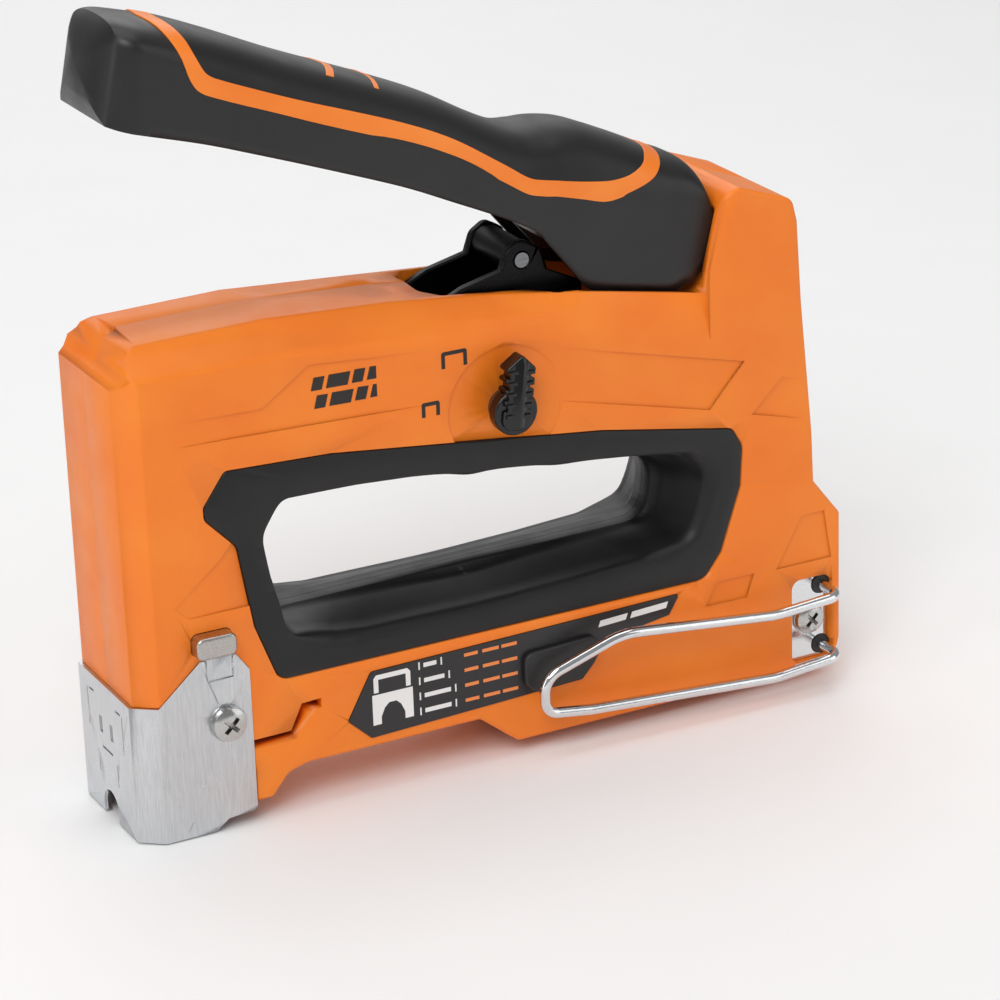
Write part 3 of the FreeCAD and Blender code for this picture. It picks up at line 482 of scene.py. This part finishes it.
def both_halves(points, faces):
    """Adds the mirror image across the joint plane."""
    mirror = [(x, -y, z) for x, y, z in points]
    return joined((points, faces), (mirror, [tuple(reversed(loop)) for loop in faces]))


def lever_skin():
    """Glass-filled nylon cover: curved crown over flat flanks, a bulged front cap, hollow below."""
    steps, columns = 6, 34
    rows = (len(LEVER_STATIONS) - 1) * steps + 1
    shares = [FLANK * k / 6 for k in range(7)]
    shares += [FLANK + (1 - FLANK) * k / (columns - 7) for k in range(1, columns - 6)]
    points = [lever_point(i / steps, v) for i in range(rows) for v in shares]
    faces = grid_faces(rows, columns)
    rings = [1.0, 0.94, 0.8, 0.55, 0.25]
    start = len(points)
    for ring in rings[1:]:
        bulge = (1 - ring**2) * CAP_BULGE
        for v in shares:
            p = lever_point(0, v)
            q = CAP_MIDDLE + (p - CAP_MIDDLE) * ring
            points.append(q + CAP_AXIS * bulge * (0.75 + 0.25 * ring))
    first = list(range(columns))
    for k in range(len(rings) - 1):
        second = [start + k * columns + j for j in range(columns)]
        faces += [(first[j + 1], first[j], second[j], second[j + 1]) for j in range(columns - 1)]
        first = second
    points.append(CAP_MIDDLE + CAP_AXIS * 2.5)
    faces += [(first[j + 1], first[j], len(points) - 1) for j in range(columns - 1)]
    # Lower edge of the cap, from flank to flank, closed back to the second station.
    under = [start + k * columns for k in range(len(rings) - 1)]
    chain = [0] + under + [len(points) - 1]
    whole, loops = both_halves(points, faces)
    half = len(points)
    for a, b in zip(chain, chain[1:]):
        loops.append((a, b, b + half, a + half))
    for i in range(steps * 2 - 4):
        a, b = i * columns, (i + 1) * columns
        loops.append((a, a + half, b + half, b))
    skin = mesh_object("lever_cover", whole, loops, black_nylon, 24)
    wall = skin.modifiers.new("wall", "SOLIDIFY")
    wall.thickness = LEVER_WALL * UNIT
    wall.offset = -1
    wall.use_even_offset = True
    wall.thickness_clamp = 1.0
    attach(skin, "lever")
    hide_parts("lever_shell")


# Stripe edges on the lever's surface, as station and share of the half section.
STRIPE_LOWER = [
    (1.55, 1.0), (1.62, 0.9), (1.75, 0.70), (1.85, 0.56), (1.92, 0.46), (2, 0.39), (2.12, 0.355),
    (2.35, 0.352), (2.9, 0.375), (3.6, 0.41), (4.4, 0.44), (5.1, 0.462), (5.9, 0.466), (6.6, 0.460),
    (7.5, 0.43), (8.3, 0.395), (9.2, 0.372), (10.2, 0.368), (11.1, 0.380), (12.1, 0.41),
    (12.95, 0.460), (13.6, 0.52), (14.2, 0.60), (14.6, 0.70), (14.9, 0.80), (15.2, 0.90),
    (15.45, 1.0),
]
STRIPE_UPPER = [
    (1.95, 1.0), (2, 0.9), (2.08, 0.74), (2.13, 0.62), (2.2, 0.54), (2.28, 0.495), (2.4, 0.482),
    (2.6, 0.485), (3, 0.497), (3.7, 0.52), (4.4, 0.545), (5.15, 0.562), (5.9, 0.562), (6.7, 0.546),
    (7.5, 0.525), (8.3, 0.500), (9.2, 0.482), (10.2, 0.466), (11.1, 0.468), (12, 0.50),
    (12.8, 0.552), (13.3, 0.61), (13.75, 0.69), (14, 0.77), (14.2, 0.84), (14.4, 0.92), (14.55, 1.0),
]


def overlay(name, rows_uv, material, lift, node):
    """Layer on the lever's surface over rows of station and share, both halves, with a thin edge."""
    points = [lever_lifted(u, min(v, 1), lift) for row in rows_uv for u, v in row]
    for p in points:
        if p.y > -0.004:     # close enough to the joint plane to meet the other half
            p.y = 0
    faces = grid_faces(len(rows_uv), len(rows_uv[0]))
    points, faces = both_halves(points, faces)
    piece = mesh_object(name, points, faces, material, 40)
    top = max(piece.data.polygons, key=lambda face: face.center.z)
    if top.normal.z < 0:
        piece.data.flip_normals()
    wall = piece.modifiers.new("wall", "SOLIDIFY")
    wall.thickness = 0.8 * UNIT
    wall.offset = -1
    wall.use_even_offset = True
    edge = piece.modifiers.new("edge", "BEVEL")
    edge.width = 0.14 * UNIT
    edge.segments = 2
    edge.angle_limit = math.radians(60)
    edge.harden_normals = True
    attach(piece, "lever")
    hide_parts(node)


def denser(table, steps):
    """Smooth table with steps rows for each row of the given one."""
    return [tuple(eased(table, i / steps)) for i in range((len(table) - 1) * steps + 1)]


def lever_layers():
    """Orange stripe that loops round the top, the soft grip inside it, and two bars across its front."""
    lower, upper = denser(STRIPE_LOWER, 5), denser(STRIPE_UPPER, 5)
    blend = [0, 0.33, 0.67, 1]
    rows = [[(a[0] + (b[0] - a[0]) * t, a[1] + (b[1] - a[1]) * t) for a, b in zip(lower, upper)]
            for t in blend]
    overlay("lever_trim_stripe", rows, orange_trim, 0.28, "lever_trim")
    first, last = upper[0][0], upper[-1][0]
    rows = []
    for k in range(17):
        t = k / 16
        row = []
        for i, (u, v) in enumerate(upper):
            ridge = first + (last - first) * i / (len(upper) - 1)
            row.append((u + (ridge - u) * t**1.5, v + (1 - v) * t))
        rows.append(row)
    overlay("lever_soft_grip", rows, black_tpe, 0.22, "lever_grip")
    foot = 0.80
    for name, start, size in (("large", 4.35, 1.0), ("small", 4.9, 0.75)):
        rows = []
        for k in range(4):
            v = foot + 0.2 * k / 3
            u = start + 0.16 * size * (v - foot) / 0.2
            rows.append([(u + 0.09 * size * t, v) for t in (0, 0.5, 1)])
        overlay("lever_chevron_" + name, rows, orange_trim, 0.34, "lever_grip")


# ---- Grip inserts ----
# Outlines are corners in x, z with a radius; rays from the centre, in units of the scale, meet each once.
GRIP_CENTRE = (75.0, 48.0)
GRIP_SCALE = (45.0, 18.0)
GRIP_OUTER = [(29.7, 28.0, 3), (25.2, 40.1, 0), (22.6, 56.8, 3), (16.4, 63.4, 2), (16.4, 65.8, 1.5),
              (20.9, 72.1, 1.5), (42.6, 71.2, 0), (100.1, 64.2, 0), (129.7, 58.7, 3), (132.0, 54.7, 4),
              (131.4, 46.2, 0), (126.8, 33.1, 3), (122.9, 28.0, 4)]
GRIP_LIP = [(44.4, 31.1, 8), (37.8, 32.4, 3), (32.7, 36.5, 5), (28.9, 49, 8), (27.6, 58, 5),
            (31.7, 64.4, 3), (53, 64.0, 0), (109.5, 57.6, 4), (124.9, 55.6, 5), (127.6, 48.9, 5),
            (122.9, 36.9, 6), (116.5, 32.6, 5), (99.1, 31.6, 0)]
GRIP_OPENING = [(33.5, 37.0, 4), (28.3, 56.0, 5), (33.0, 63.2, 6), (53.0, 63.2, 0), (108.9, 55.6, 7),
                (118.3, 49.9, 6), (116.9, 38.2, 6)]
# Ridges between the fingers on the opening's roof: place along x and height.
FINGER_RIDGES = [(53.8, 2.4), (71.5, 2.2), (90.5, 1.8), (107.5, 1.2)]
RIDGE_WIDTH = 4.2
RIB_HEIGHT = 1.5     # rib along the joint plane, over the valley beside it
RIB_HALF = 3.6       # joint plane to the rib's foot
LIP_START = 12.4     # joint plane to where the lip starts to roll over
GRIP_WALL = 1.3


def rounded(corners, steps=8):
    """Closed outline in x, z with each corner rounded by its third number."""
    out = []
    count = len(corners)
    for i, (x, z, radius) in enumerate(corners):
        here = Vector((x, z))
        before = (Vector(corners[i - 1][:2]) - here)
        after = (Vector(corners[(i + 1) % count][:2]) - here)
        if radius <= 0:
            out.append(here)
            continue
        half = before.angle(after) / 2
        reach = min(radius / math.tan(half), before.length * 0.48, after.length * 0.48)
        a, b = here + before.normalized() * reach, here + after.normalized() * reach
        for k in range(steps + 1):
            t = k / steps
            out.append(a * (1 - t) ** 2 + here * 2 * t * (1 - t) + b * t**2)
    return out


def in_grip_units(p):
    return Vector(((p.x - GRIP_CENTRE[0]) / GRIP_SCALE[0], (p.y - GRIP_CENTRE[1]) / GRIP_SCALE[1]))


def reach_of(path, angle):
    """Distance, in grip units, from the grip's centre to the path along an angle."""
    ray = Vector((math.cos(angle), math.sin(angle)))
    best = 0
    for i, p in enumerate(path):
        a, b = in_grip_units(path[i - 1]), in_grip_units(p)
        side = b - a
        cross = ray.x * side.y - ray.y * side.x
        if abs(cross) < 1e-12:
            continue
        along = (a.x * side.y - a.y * side.x) / cross
        share = (a.x * ray.y - a.y * ray.x) / cross
        if along > 0 and -1e-9 <= share <= 1 + 1e-9:
            best = max(best, along)
    return best


def grip_insert(side):
    """Overmoulded insert: flat band, rolled lip, scooped walls and a raised rib at the joint plane."""
    outer, lip, opening = rounded(GRIP_OUTER), rounded(GRIP_LIP), rounded(GRIP_OPENING)
    corners = [math.atan2(q.y, q.x) for q in map(in_grip_units, outer + opening)]
    angles = sorted({round(a % math.tau, 4) for a in corners}
                    | {round(math.tau * i / 260, 4) for i in range(260)})
    rings = []
    for angle in angles:
        r_out, r_lip, r_open = (reach_of(path, angle) for path in (outer, lip, opening))
        r_out = max(r_out, r_lip + 0.02)
        x_at = GRIP_CENTRE[0] + r_open * math.cos(angle) * GRIP_SCALE[0]
        down = max(0, -math.sin(angle)) ** 0.5
        tail = max(0, math.cos(angle) - 0.75) * 4
        rib = RIB_HEIGHT * max(down, min(tail, 1))
        size = math.hypot(math.cos(angle) * GRIP_SCALE[0], math.sin(angle) * GRIP_SCALE[1])
        bump = 0
        if math.sin(angle) > 0.2:
            bump = sum(h * math.exp(-((x_at - x) / RIDGE_WIDTH) ** 2) for x, h in FINGER_RIDGES)
        r_open -= bump / size
        path = [(r_open, 0.06), (r_open, 2.6), (r_open + 0.25 * rib / size, 3.0),
                (r_open + rib / size, RIB_HALF)]
        r_valley = r_open + rib / size
        left = max(r_lip - r_valley, 0.01)
        for t in (0.2, 0.4, 0.6, 0.8, 1.0):
            path.append((r_valley + 0.5 * left * t**1.15, RIB_HALF + (LIP_START - RIB_HALF) * t))
        for k in range(1, 7):
            turn = math.pi / 2 * k / 6
            path.append((r_valley + left * (0.5 + 0.5 * (1 - math.cos(turn))),
                         LIP_START + (SIDE - LIP_START) * math.sin(turn)))
        band = max(r_out - 0.35 / size - r_lip, 0.004)
        path += [(r_lip + band * 0.5, SIDE), (r_lip + band, SIDE), (r_out - 0.1 / size, SIDE - 0.12),
                 (r_out, SIDE - 0.35), (r_out, SIDE - 1.2)]
        behind = [(r, y) for r, y in path[:9] if y < 13]
        path += [(min(r + GRIP_WALL / size, r_out - 0.5 / size), y) for r, y in reversed(behind)]
        rings.append([(GRIP_CENTRE[0] + r * math.cos(angle) * GRIP_SCALE[0], side * y,
                       GRIP_CENTRE[1] + r * math.sin(angle) * GRIP_SCALE[1]) for r, y in path])
    rows, columns = len(rings), len(rings[0])
    points = [p for ring in rings for p in ring]
    faces = []
    for i in range(rows):
        k = (i + 1) % rows
        for j in range(columns):
            m = (j + 1) % columns
            faces.append((i * columns + j, i * columns + m, k * columns + m, k * columns + j))
    name = "left" if side < 0 else "right"
    piece = mesh_object("grip_" + name, points, faces, black_tpe, 50)
    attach(piece, "housing")
    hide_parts("grip_insert_" + name)


# ---- Screws ----
def plus_cutter(place, way, levels):
    """Tapered plus-shaped cutter; each level is a depth, half length and half thickness of its arms."""
    axis = Vector(way)
    long = Vector((math.cos(math.pi / 4), 0, math.sin(math.pi / 4)))
    wide = axis.cross(long)
    ways = [long, wide, -long, -wide]
    ring = []
    for depth, half, thick in levels:
        for d, e in zip(ways, ways[1:] + ways[:1]):
            ring += [Vector(place) + axis * depth + p
                     for p in (d * half - e * thick, d * half + e * thick, d * thick + e * thick)]
    sides = [(i, i + 12, (i + 1) % 12 + 12, (i + 1) % 12) for i in range(12)]
    return ring, [tuple(range(12)), tuple(range(23, 11, -1))] + sides


def cross_head(name, node, body, places, radius, height, toward, material):
    """Pan-head screws with a cross recess at each place; the head stands toward the given side."""
    parts = []
    for place, way in zip(places, toward):
        profile = [(radius * 0.3, -1.0), (radius * 0.98, -0.02), (radius, 0.12), (radius, height * 0.42),
                   (radius * 0.93, height * 0.7), (radius * 0.72, height * 0.9), (radius * 0.4, height)]
        parts.append(turned(profile, place, way))
    piece = mesh_object(name, *joined(*parts), material, 40)
    levels = ((height + 0.3, 0.56 * radius, 0.13 * radius), (height * 0.05, 0.34 * radius, 0.10 * radius))
    cut_with(piece, [plus_cutter(place, way, levels) for place, way in zip(places, toward)])
    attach(piece, body)
    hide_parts(node)


# ---- Coil springs, by geometry nodes ----
def new_input(tree, name, kind):
    """Adds a named group input and gives its identifier."""
    return tree.interface.new_socket(name, in_out="INPUT", socket_type="NodeSocket" + kind).identifier


def coil_tree():
    """Tree for a coil of round wire standing on z: radius, height, turns, wire radius and material."""
    tree = bpy.data.node_groups.new("coil_of_wire", "GeometryNodeTree")
    tree.interface.new_socket("Geometry", in_out="OUTPUT", socket_type="NodeSocketGeometry")
    sockets = {}
    for name in ("Coil Radius", "Height", "Turns", "Wire Radius"):
        sockets[name] = new_input(tree, name, "Float")
    sockets["Material"] = new_input(tree, "Material", "Material")
    enter = tree.nodes.new("NodeGroupInput").outputs
    spiral = add(tree, "GeometryNodeCurveSpiral", Resolution=28, Rotations=enter["Turns"],
                 Start_Radius=enter["Coil Radius"], End_Radius=enter["Coil Radius"], Height=enter["Height"])
    ring = add(tree, "GeometryNodeCurvePrimitiveCircle", Resolution=8, Radius=enter["Wire Radius"])
    wire = add(tree, "GeometryNodeCurveToMesh", Curve=spiral.outputs[0], Profile_Curve=ring.outputs[0],
               Fill_Caps=True)
    solid = add(tree, "GeometryNodeRealizeInstances", Geometry=wire.outputs[0])
    dressed = add(tree, "GeometryNodeSetMaterial", Geometry=solid.outputs[0], Material=enter["Material"])
    leave = tree.nodes.new("NodeGroupOutput")
    tree.links.new(dressed.outputs[0], leave.inputs[0])
    return tree, sockets


COIL, COIL_SOCKETS = coil_tree()


def coil(name, node, body, start, toward, height, radius, wire, turns, material, copies=()):
    """Spring from start along toward; copies are more places for the same coil."""
    holder = mesh_object(name, [(0, 0, 0)], [], material, mend=False)
    wind = holder.modifiers.new("wind", "NODES")
    wind.node_group = COIL
    for label, value in (("Coil Radius", radius * UNIT), ("Height", height * UNIT), ("Turns", turns),
                         ("Wire Radius", wire * UNIT), ("Material", material)):
        wind[COIL_SOCKETS[label]] = value
    made_plain(holder, 60)
    turn = Vector((0, 0, 1)).rotation_difference(Vector(toward)).to_matrix().to_4x4()
    base = holder.data
    whole = bmesh.new()
    for place in (start, *copies):
        one = base.copy()
        one.transform(Matrix.Translation(Vector(place) * UNIT) @ turn)
        whole.from_mesh(one)
        bpy.data.meshes.remove(one)
    bmesh.ops.recalc_face_normals(whole, faces=whole.faces)
    whole.to_mesh(base)
    whole.free()
    base.shade_smooth()
    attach(holder, body)
    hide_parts(node)
    return holder


def box_of(node):
    """Low and high corners of a CAD node, in millimetres."""
    low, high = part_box(node)
    return low / UNIT, high / UNIT


def springs():
    """Coils wound inside the envelopes of the four springs."""
    low, high = box_of("main_spring")
    wire = 0.85
    height = high.z - low.z
    main = coil("main_spring_coil", "main_spring", BODY_OF["main_spring"],
                ((low.x + high.x) / 2, 0, low.z + wire), (0, 0, 1), height - 2 * wire,
                (high.x - low.x) / 2 - wire, wire, 8.5, spring_wire)
    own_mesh(main)
    low, high = box_of("pusher_spring")
    coil("pusher_spring_coil", "pusher_spring", BODY_OF["pusher_spring"],
         (low.x + 0.4, (low.y + high.y) / 2, (low.z + high.z) / 2), (1, 0, 0), high.x - low.x - 0.8,
         (high.z - low.z) / 2 - 0.4, 0.35, 46, spring_wire)
    low, high = box_of("selector_spring")
    coil("selector_spring_coil", "selector_spring", BODY_OF["selector_spring"],
         ((low.x + high.x) / 2, low.y + 0.4, (low.z + high.z) / 2), (0, 1, 0), high.y - low.y - 0.8,
         (high.x - low.x) / 2 - 0.4, 0.35, 4.5, spring_wire)
    low, high = box_of("lever_spring")
    reach = 3.6
    coil("lever_spring_coil", "lever_spring", BODY_OF["lever_spring"],
         ((low.x + high.x) / 2, low.y + 0.5, (low.z + high.z) / 2), (0, 1, 0), reach,
         (high.x - low.x) / 2 - 0.5, 0.5, 3.5, spring_wire,
         [((low.x + high.x) / 2, high.y - 0.5 - reach, (low.z + high.z) / 2)])


# ---- Label and marks ----
INK = 0.04           # how far printed ink stands off the film


def plates(name, outlines, material, face, rise):
    """Thin raised plates on the left side face; face is their y, rise how far they stand out."""
    piece = mesh_object(name, *joined(*[prism(o, face, face - rise) for o in outlines]), material)
    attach(piece, "housing")


def bar(x0, z0, x1, z1, slope=0.0, lean=0.0):
    """Slanted bar outline; slope lifts its right end, lean pushes its top to the right."""
    lift = slope * (x1 - x0)
    return [(x0, z0), (x1, z0 + lift), (x1 + lean, z1 + lift), (x0 + lean, z1)]


def staple_mark(x, z, width, height, stroke):
    """Outline of a staple with its legs down; x, z is its lower left corner."""
    cut = 0.35
    return [(x, z), (x + stroke, z), (x + stroke, z + height - stroke),
            (x + width - stroke, z + height - stroke), (x + width - stroke, z), (x + width, z),
            (x + width, z + height - cut), (x + width - cut, z + height), (x + cut, z + height),
            (x, z + height - cut)]


def row_tree():
    """Tree for a row of small blocks: count, step, size and material."""
    tree = bpy.data.node_groups.new("row_of_ribs", "GeometryNodeTree")
    tree.interface.new_socket("Geometry", in_out="OUTPUT", socket_type="NodeSocketGeometry")
    sockets = {}
    for name, kind in (("Count", "Int"), ("Step", "Vector"), ("Size", "Vector"), ("Material", "Material")):
        sockets[name] = new_input(tree, name, kind)
    enter = tree.nodes.new("NodeGroupInput").outputs
    line = add(tree, "GeometryNodeMeshLine", Count=enter["Count"], Offset=enter["Step"])
    block = add(tree, "GeometryNodeMeshCube", Size=enter["Size"])
    row = add(tree, "GeometryNodeInstanceOnPoints", Points=line.outputs[0], Instance=block.outputs[0])
    solid = add(tree, "GeometryNodeRealizeInstances", Geometry=row.outputs[0])
    dressed = add(tree, "GeometryNodeSetMaterial", Geometry=solid.outputs[0], Material=enter["Material"])
    leave = tree.nodes.new("NodeGroupOutput")
    tree.links.new(dressed.outputs[0], leave.inputs[0])
    return tree, sockets


ROW, ROW_SOCKETS = row_tree()


def row_of_ribs(name, body, count, step, size, place, material, bevel):
    """Row of bevelled ribs that starts at place."""
    holder = mesh_object(name, [(0, 0, 0)], [], material, mend=False)
    lay = holder.modifiers.new("lay", "NODES")
    lay.node_group = ROW
    for label, value in (("Count", count), ("Step", mm(*step)), ("Size", mm(*size)),
                         ("Material", material)):
        lay[ROW_SOCKETS[label]] = value
    made_plain(holder)
    holder.data.transform(Matrix.Translation(mm(*place)))
    edge = holder.modifiers.new("edge", "BEVEL")
    edge.width = bevel * UNIT
    edge.segments = 2
    edge.harden_normals = True
    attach(holder, body)


# ---- Housing ----
def soft_copy(node, material, sunk, sharp):
    """Copy of a CAD node with parts sunk into it, its narrow edge faces shaded as one soft round."""
    piece = merged_copy(node, material)
    cut_with(piece, sunk)
    piece.data.set_sharp_from_angle(angle=math.radians(sharp))
    soft = piece.modifiers.new("soft", "WEIGHTED_NORMAL")
    soft.keep_sharp = True
    soft.weight = 100
    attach(piece, BODY_OF[node])
    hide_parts(node)


def housing():
    """Both halves, opened under the inserts' scoops."""
    window = [tuple(p) for p in rounded(GRIP_LIP)]
    for node in ("housing_left", "housing_right"):
        soft_copy(node, orange_abs, [prism(window, -SIDE - 1, SIDE + 1)], 42)


def front_stroke(y, z, wide, tall, depth=0.3):
    """Sunk bar in the plate's front face, centred on y, z."""
    a, b = y - wide / 2, y + wide / 2
    points = [(x, p, q) for x in (-1, depth) for p, q in ((a, z - tall / 2), (b, z - tall / 2),
                                                          (b, z + tall / 2), (a, z + tall / 2))]
    return points, [(0, 1, 2, 3), (7, 6, 5, 4), (0, 4, 5, 1), (1, 5, 6, 2), (2, 6, 7, 3), (3, 7, 4, 0)]


def nose():
    """Plated sheet wrapped round the nose: soft bends, pressed strokes and a tab under the stop bar."""
    strokes = [front_stroke(s * 8.6, 20.5, 0.5, 8.0) for s in (-1, 1)]
    strokes += [front_stroke(s * 6.6, 24.6, 2.4, 0.5) for s in (-1, 1)]
    strokes += [front_stroke(s * 2.6, 18.8, 1.5, 3.4, 0.4) for s in (-1, 1)]
    strokes += [front_stroke(s * 4.6, 10.5, 0.5, 4.6) for s in (-1, 1)]
    strokes += [front_stroke(0, 14.2, 5.4, 0.5)]
    tab = [(14.9, 30.9), (20.2, 31.1), (20.3, 36.5), (14.9, 36.5)]
    mark = [(7.6, 3.6), (10.3, 3.2), (9.2, 1.3)]
    for s in (-1, 1):
        strokes.append(prism(tab, s * (PLATE_SIDE + 1), s * (PLATE_SIDE - 0.45)))
    strokes.append(prism(mark, -PLATE_SIDE - 1, -PLATE_SIDE + 0.15))
    soft_copy("nose_plate", satin_nickel, strokes, 50)
    rounded_copy("stop_bar", burnished_steel, 0.7, 1)
    low, high = box_of("nose_screws")
    x, z = (low.x + high.x) / 2, (low.z + high.z) / 2
    cross_head("nose_screw_heads", "nose_screws", "housing", [(x, -PLATE_SIDE, z), (x, PLATE_SIDE, z)],
               3.6, 2.1, [(0, -1, 0), (0, 1, 0)], nickel_screw)
    low, high = box_of("hook_screw")
    seat = ((low.x + high.x) / 2, low.y + 1.9, (low.z + high.z) / 2)
    cross_head("hook_screw_head", "hook_screw", "housing", [seat], 3.3, 1.9, [(0, -1, 0)], nickel_screw)


def case_screw_heads():
    """Sunk cross heads of the four screws that hold the halves."""
    mesh = NODES["case_screws"].data
    top = max(vertex.co.y for vertex in mesh.vertices)
    rings = {}
    for vertex in mesh.vertices:
        if vertex.co.y > top - 0.01 * UNIT:
            key = (round(vertex.co.x / UNIT / 12), round(vertex.co.z / UNIT / 12))
            rings.setdefault(key, []).append(vertex.co.copy() / UNIT)
    places = []
    for ring in rings.values():
        xs, zs = [p.x for p in ring], [p.z for p in ring]
        places.append(((min(xs) + max(xs)) / 2, top / UNIT - 1.6, (min(zs) + max(zs)) / 2))
    cross_head("case_screw_heads", "case_screws", "housing", places, 2.45, 1.6, [(0, 1, 0)] * len(places),
               nickel_screw)


def knob():
    """Pointer knob: ridge down its middle, ribs across both slopes."""
    rounded_copy("selector_knob", black_acetal, 0.45, 1)
    low, _ = box_of("selector_knob")
    centre = JOINT_AT["selector_turn"] / UNIT
    base = Vector((centre.x, low.y, centre.z))
    turn = Matrix.Rotation(math.radians(7), 4, "Y")
    ridge = [(-1.5, 0), (-0.35, 0.75), (0.35, 0.75), (1.5, 0)]
    points = [Vector((x, -rise, z)) for z in (-2.6, 10.0) for x, rise in ridge]
    points.append(Vector((0, 0, 11.3)))
    faces = [(0, 1, 5, 4), (1, 2, 6, 5), (2, 3, 7, 6), (3, 0, 4, 7), (3, 2, 1, 0), (4, 5, 8), (5, 6, 8),
             (6, 7, 8), (7, 4, 8)]
    points = [turn @ p + base for p in points]
    spine = mesh_object("knob_ridge", points, faces, black_acetal)
    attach(spine, "selector")
    for side in (-1, 1):
        start = turn @ Vector((side * 1.75, -0.05, -0.4)) + base
        step = turn.to_3x3() @ Vector((0, 0, 2.15))
        row_of_ribs("knob_ribs_" + ("front" if side < 0 else "rear"), "selector", 5, tuple(step),
                    (1.9, 0.8, 0.75), tuple(start), black_acetal, 0.18)


def label():
    """Film with a staple pictogram and rows of bars in two inks, and the moulded pad behind the hook."""
    rounded_copy("hook_pad", inner_nylon, 0.45, 1)
    face = box_of("label_panel")[0].y
    wire = [(49.0, 20.6), (50.0, 20.6), (50.0, 23.3), (55.9, 23.3), (55.9, 20.6), (56.9, 20.6),
            (56.9, 23.6), (56.3, 24.3), (49.6, 24.3), (49.0, 23.6)]
    saddle = [(48.6, 13.9), (50.4, 13.9), (50.4, 15.4), (51.2, 17.2), (52.2, 18.1), (53.7, 18.1),
              (54.7, 17.2), (55.5, 15.4), (55.5, 13.9), (57.3, 13.9), (57.3, 20.2), (48.6, 20.2)]
    white = [wire, saddle]
    rows = ((24.1, 64.0), (20.9, 65.6), (17.7, 66.9), (14.5, 66.9))
    for z, end in rows:
        white += [bar(58.7, z - 0.8, 59.0, z + 0.8), bar(59.8, z - 0.45, end - 1.4, z + 0.45),
                  bar(end - 0.5, z - 0.8, end - 0.2, z + 0.8)]
    white += [bar(x, 23.2 + 0.045 * (x - 99), x + wide, 24.5 + 0.045 * (x - 99), 0.045, 0.5)
              for x, wide in ((98.4, 6.2), (105.6, 8.2))]
    plates("label_print_white", white, white_ink, face, INK)
    orange = []
    for z, _ in rows:
        orange += [bar(68.6, z - 0.35, 71.6, z + 0.35), bar(72.6, z - 0.35, 76.2, z + 0.35),
                   bar(76.8, z - 0.35, 80.2, z + 0.35)]
    plates("label_print_orange", orange, orange_ink, face, INK)


def marks():
    """Printed marks on the side: two staple sizes by the knob, and a plain block of bars."""
    black = [staple_mark(66.3, 83.4, 5.4, 3.3, 0.75), staple_mark(61.8, 74.5, 3.8, 2.9, 0.75)]
    plates("staple_marks", black, black_ink, -SIDE + 0.3, 0.36)
    bars = []
    for row, z in enumerate((84.2, 80.6)):
        for x, wide in ((39.4, 2.2), (42.5, 4.4), (47.8, 2.2), (50.9, 4.4)):
            bars.append(bar(x + 0.5 * row, z, x + wide + 0.5 * row, z + 2.5, -0.03, 0.7))
    plates("side_badge", bars, black_ink, -SIDE + 0.6, 0.25)


housing()
nose()
case_screw_heads()
lever_skin()
lever_layers()
for way in (-1, 1):
    grip_insert(way)
knob()
label()
marks()
springs()
rounded_copy("rocker_arm", black_oxide, 0.5, 1)
rounded_copy("hook_plate", bright_chrome, 0.2, 1)
rounded_copy("magazine_cap", inner_nylon, 0.4, 0.4)

# Every CAD node carries its own material too, seen or not.
for node, material in {
    "housing_left": orange_abs, "housing_right": orange_abs, "grip_insert_left": black_tpe,
    "grip_insert_right": black_tpe, "case_screws": nickel_screw, "nose_plate": satin_nickel,
    "nose_screws": nickel_screw, "driver_guide": plain_steel, "stop_bar": burnished_steel,
    "stop_bumper": bumper_rubber, "hammer": plain_steel, "driver_blade": plain_steel,
    "main_spring": spring_wire, "spring_cap": inner_nylon, "rocker_arm": black_oxide,
    "rocker_pin": plain_steel, "rocker_roller": black_oxide, "roller_pin": plain_steel,
    "lever_shell": black_nylon, "lever_trim": orange_trim, "lever_grip": black_tpe,
    "lever_channel": plain_steel, "pivot_pin": plain_steel, "lever_spring": spring_wire,
    "selector_knob": black_acetal, "selector_shaft": plain_steel, "selector_cam": brass_turned,
    "selector_collar": brass_turned, "selector_spring": spring_wire, "belt_hook": bright_chrome,
    # hook_bushes: black rings where the hook wire enters its plate, painted shade standing for the dark inside
    # those holes.
    "hook_plate": bright_chrome, "hook_bushes": inner_nylon, "hook_screw": nickel_screw,
    "staple_rail": plain_steel, "magazine_cap": inner_nylon, "pusher_rod": plain_steel,
    "pusher_spring": spring_wire, "pusher": plain_steel, "label_panel": label_film,
    "hook_pad": inner_nylon,
}.items():
    NODES[node].data.materials.clear()
    NODES[node].data.materials.append(material)
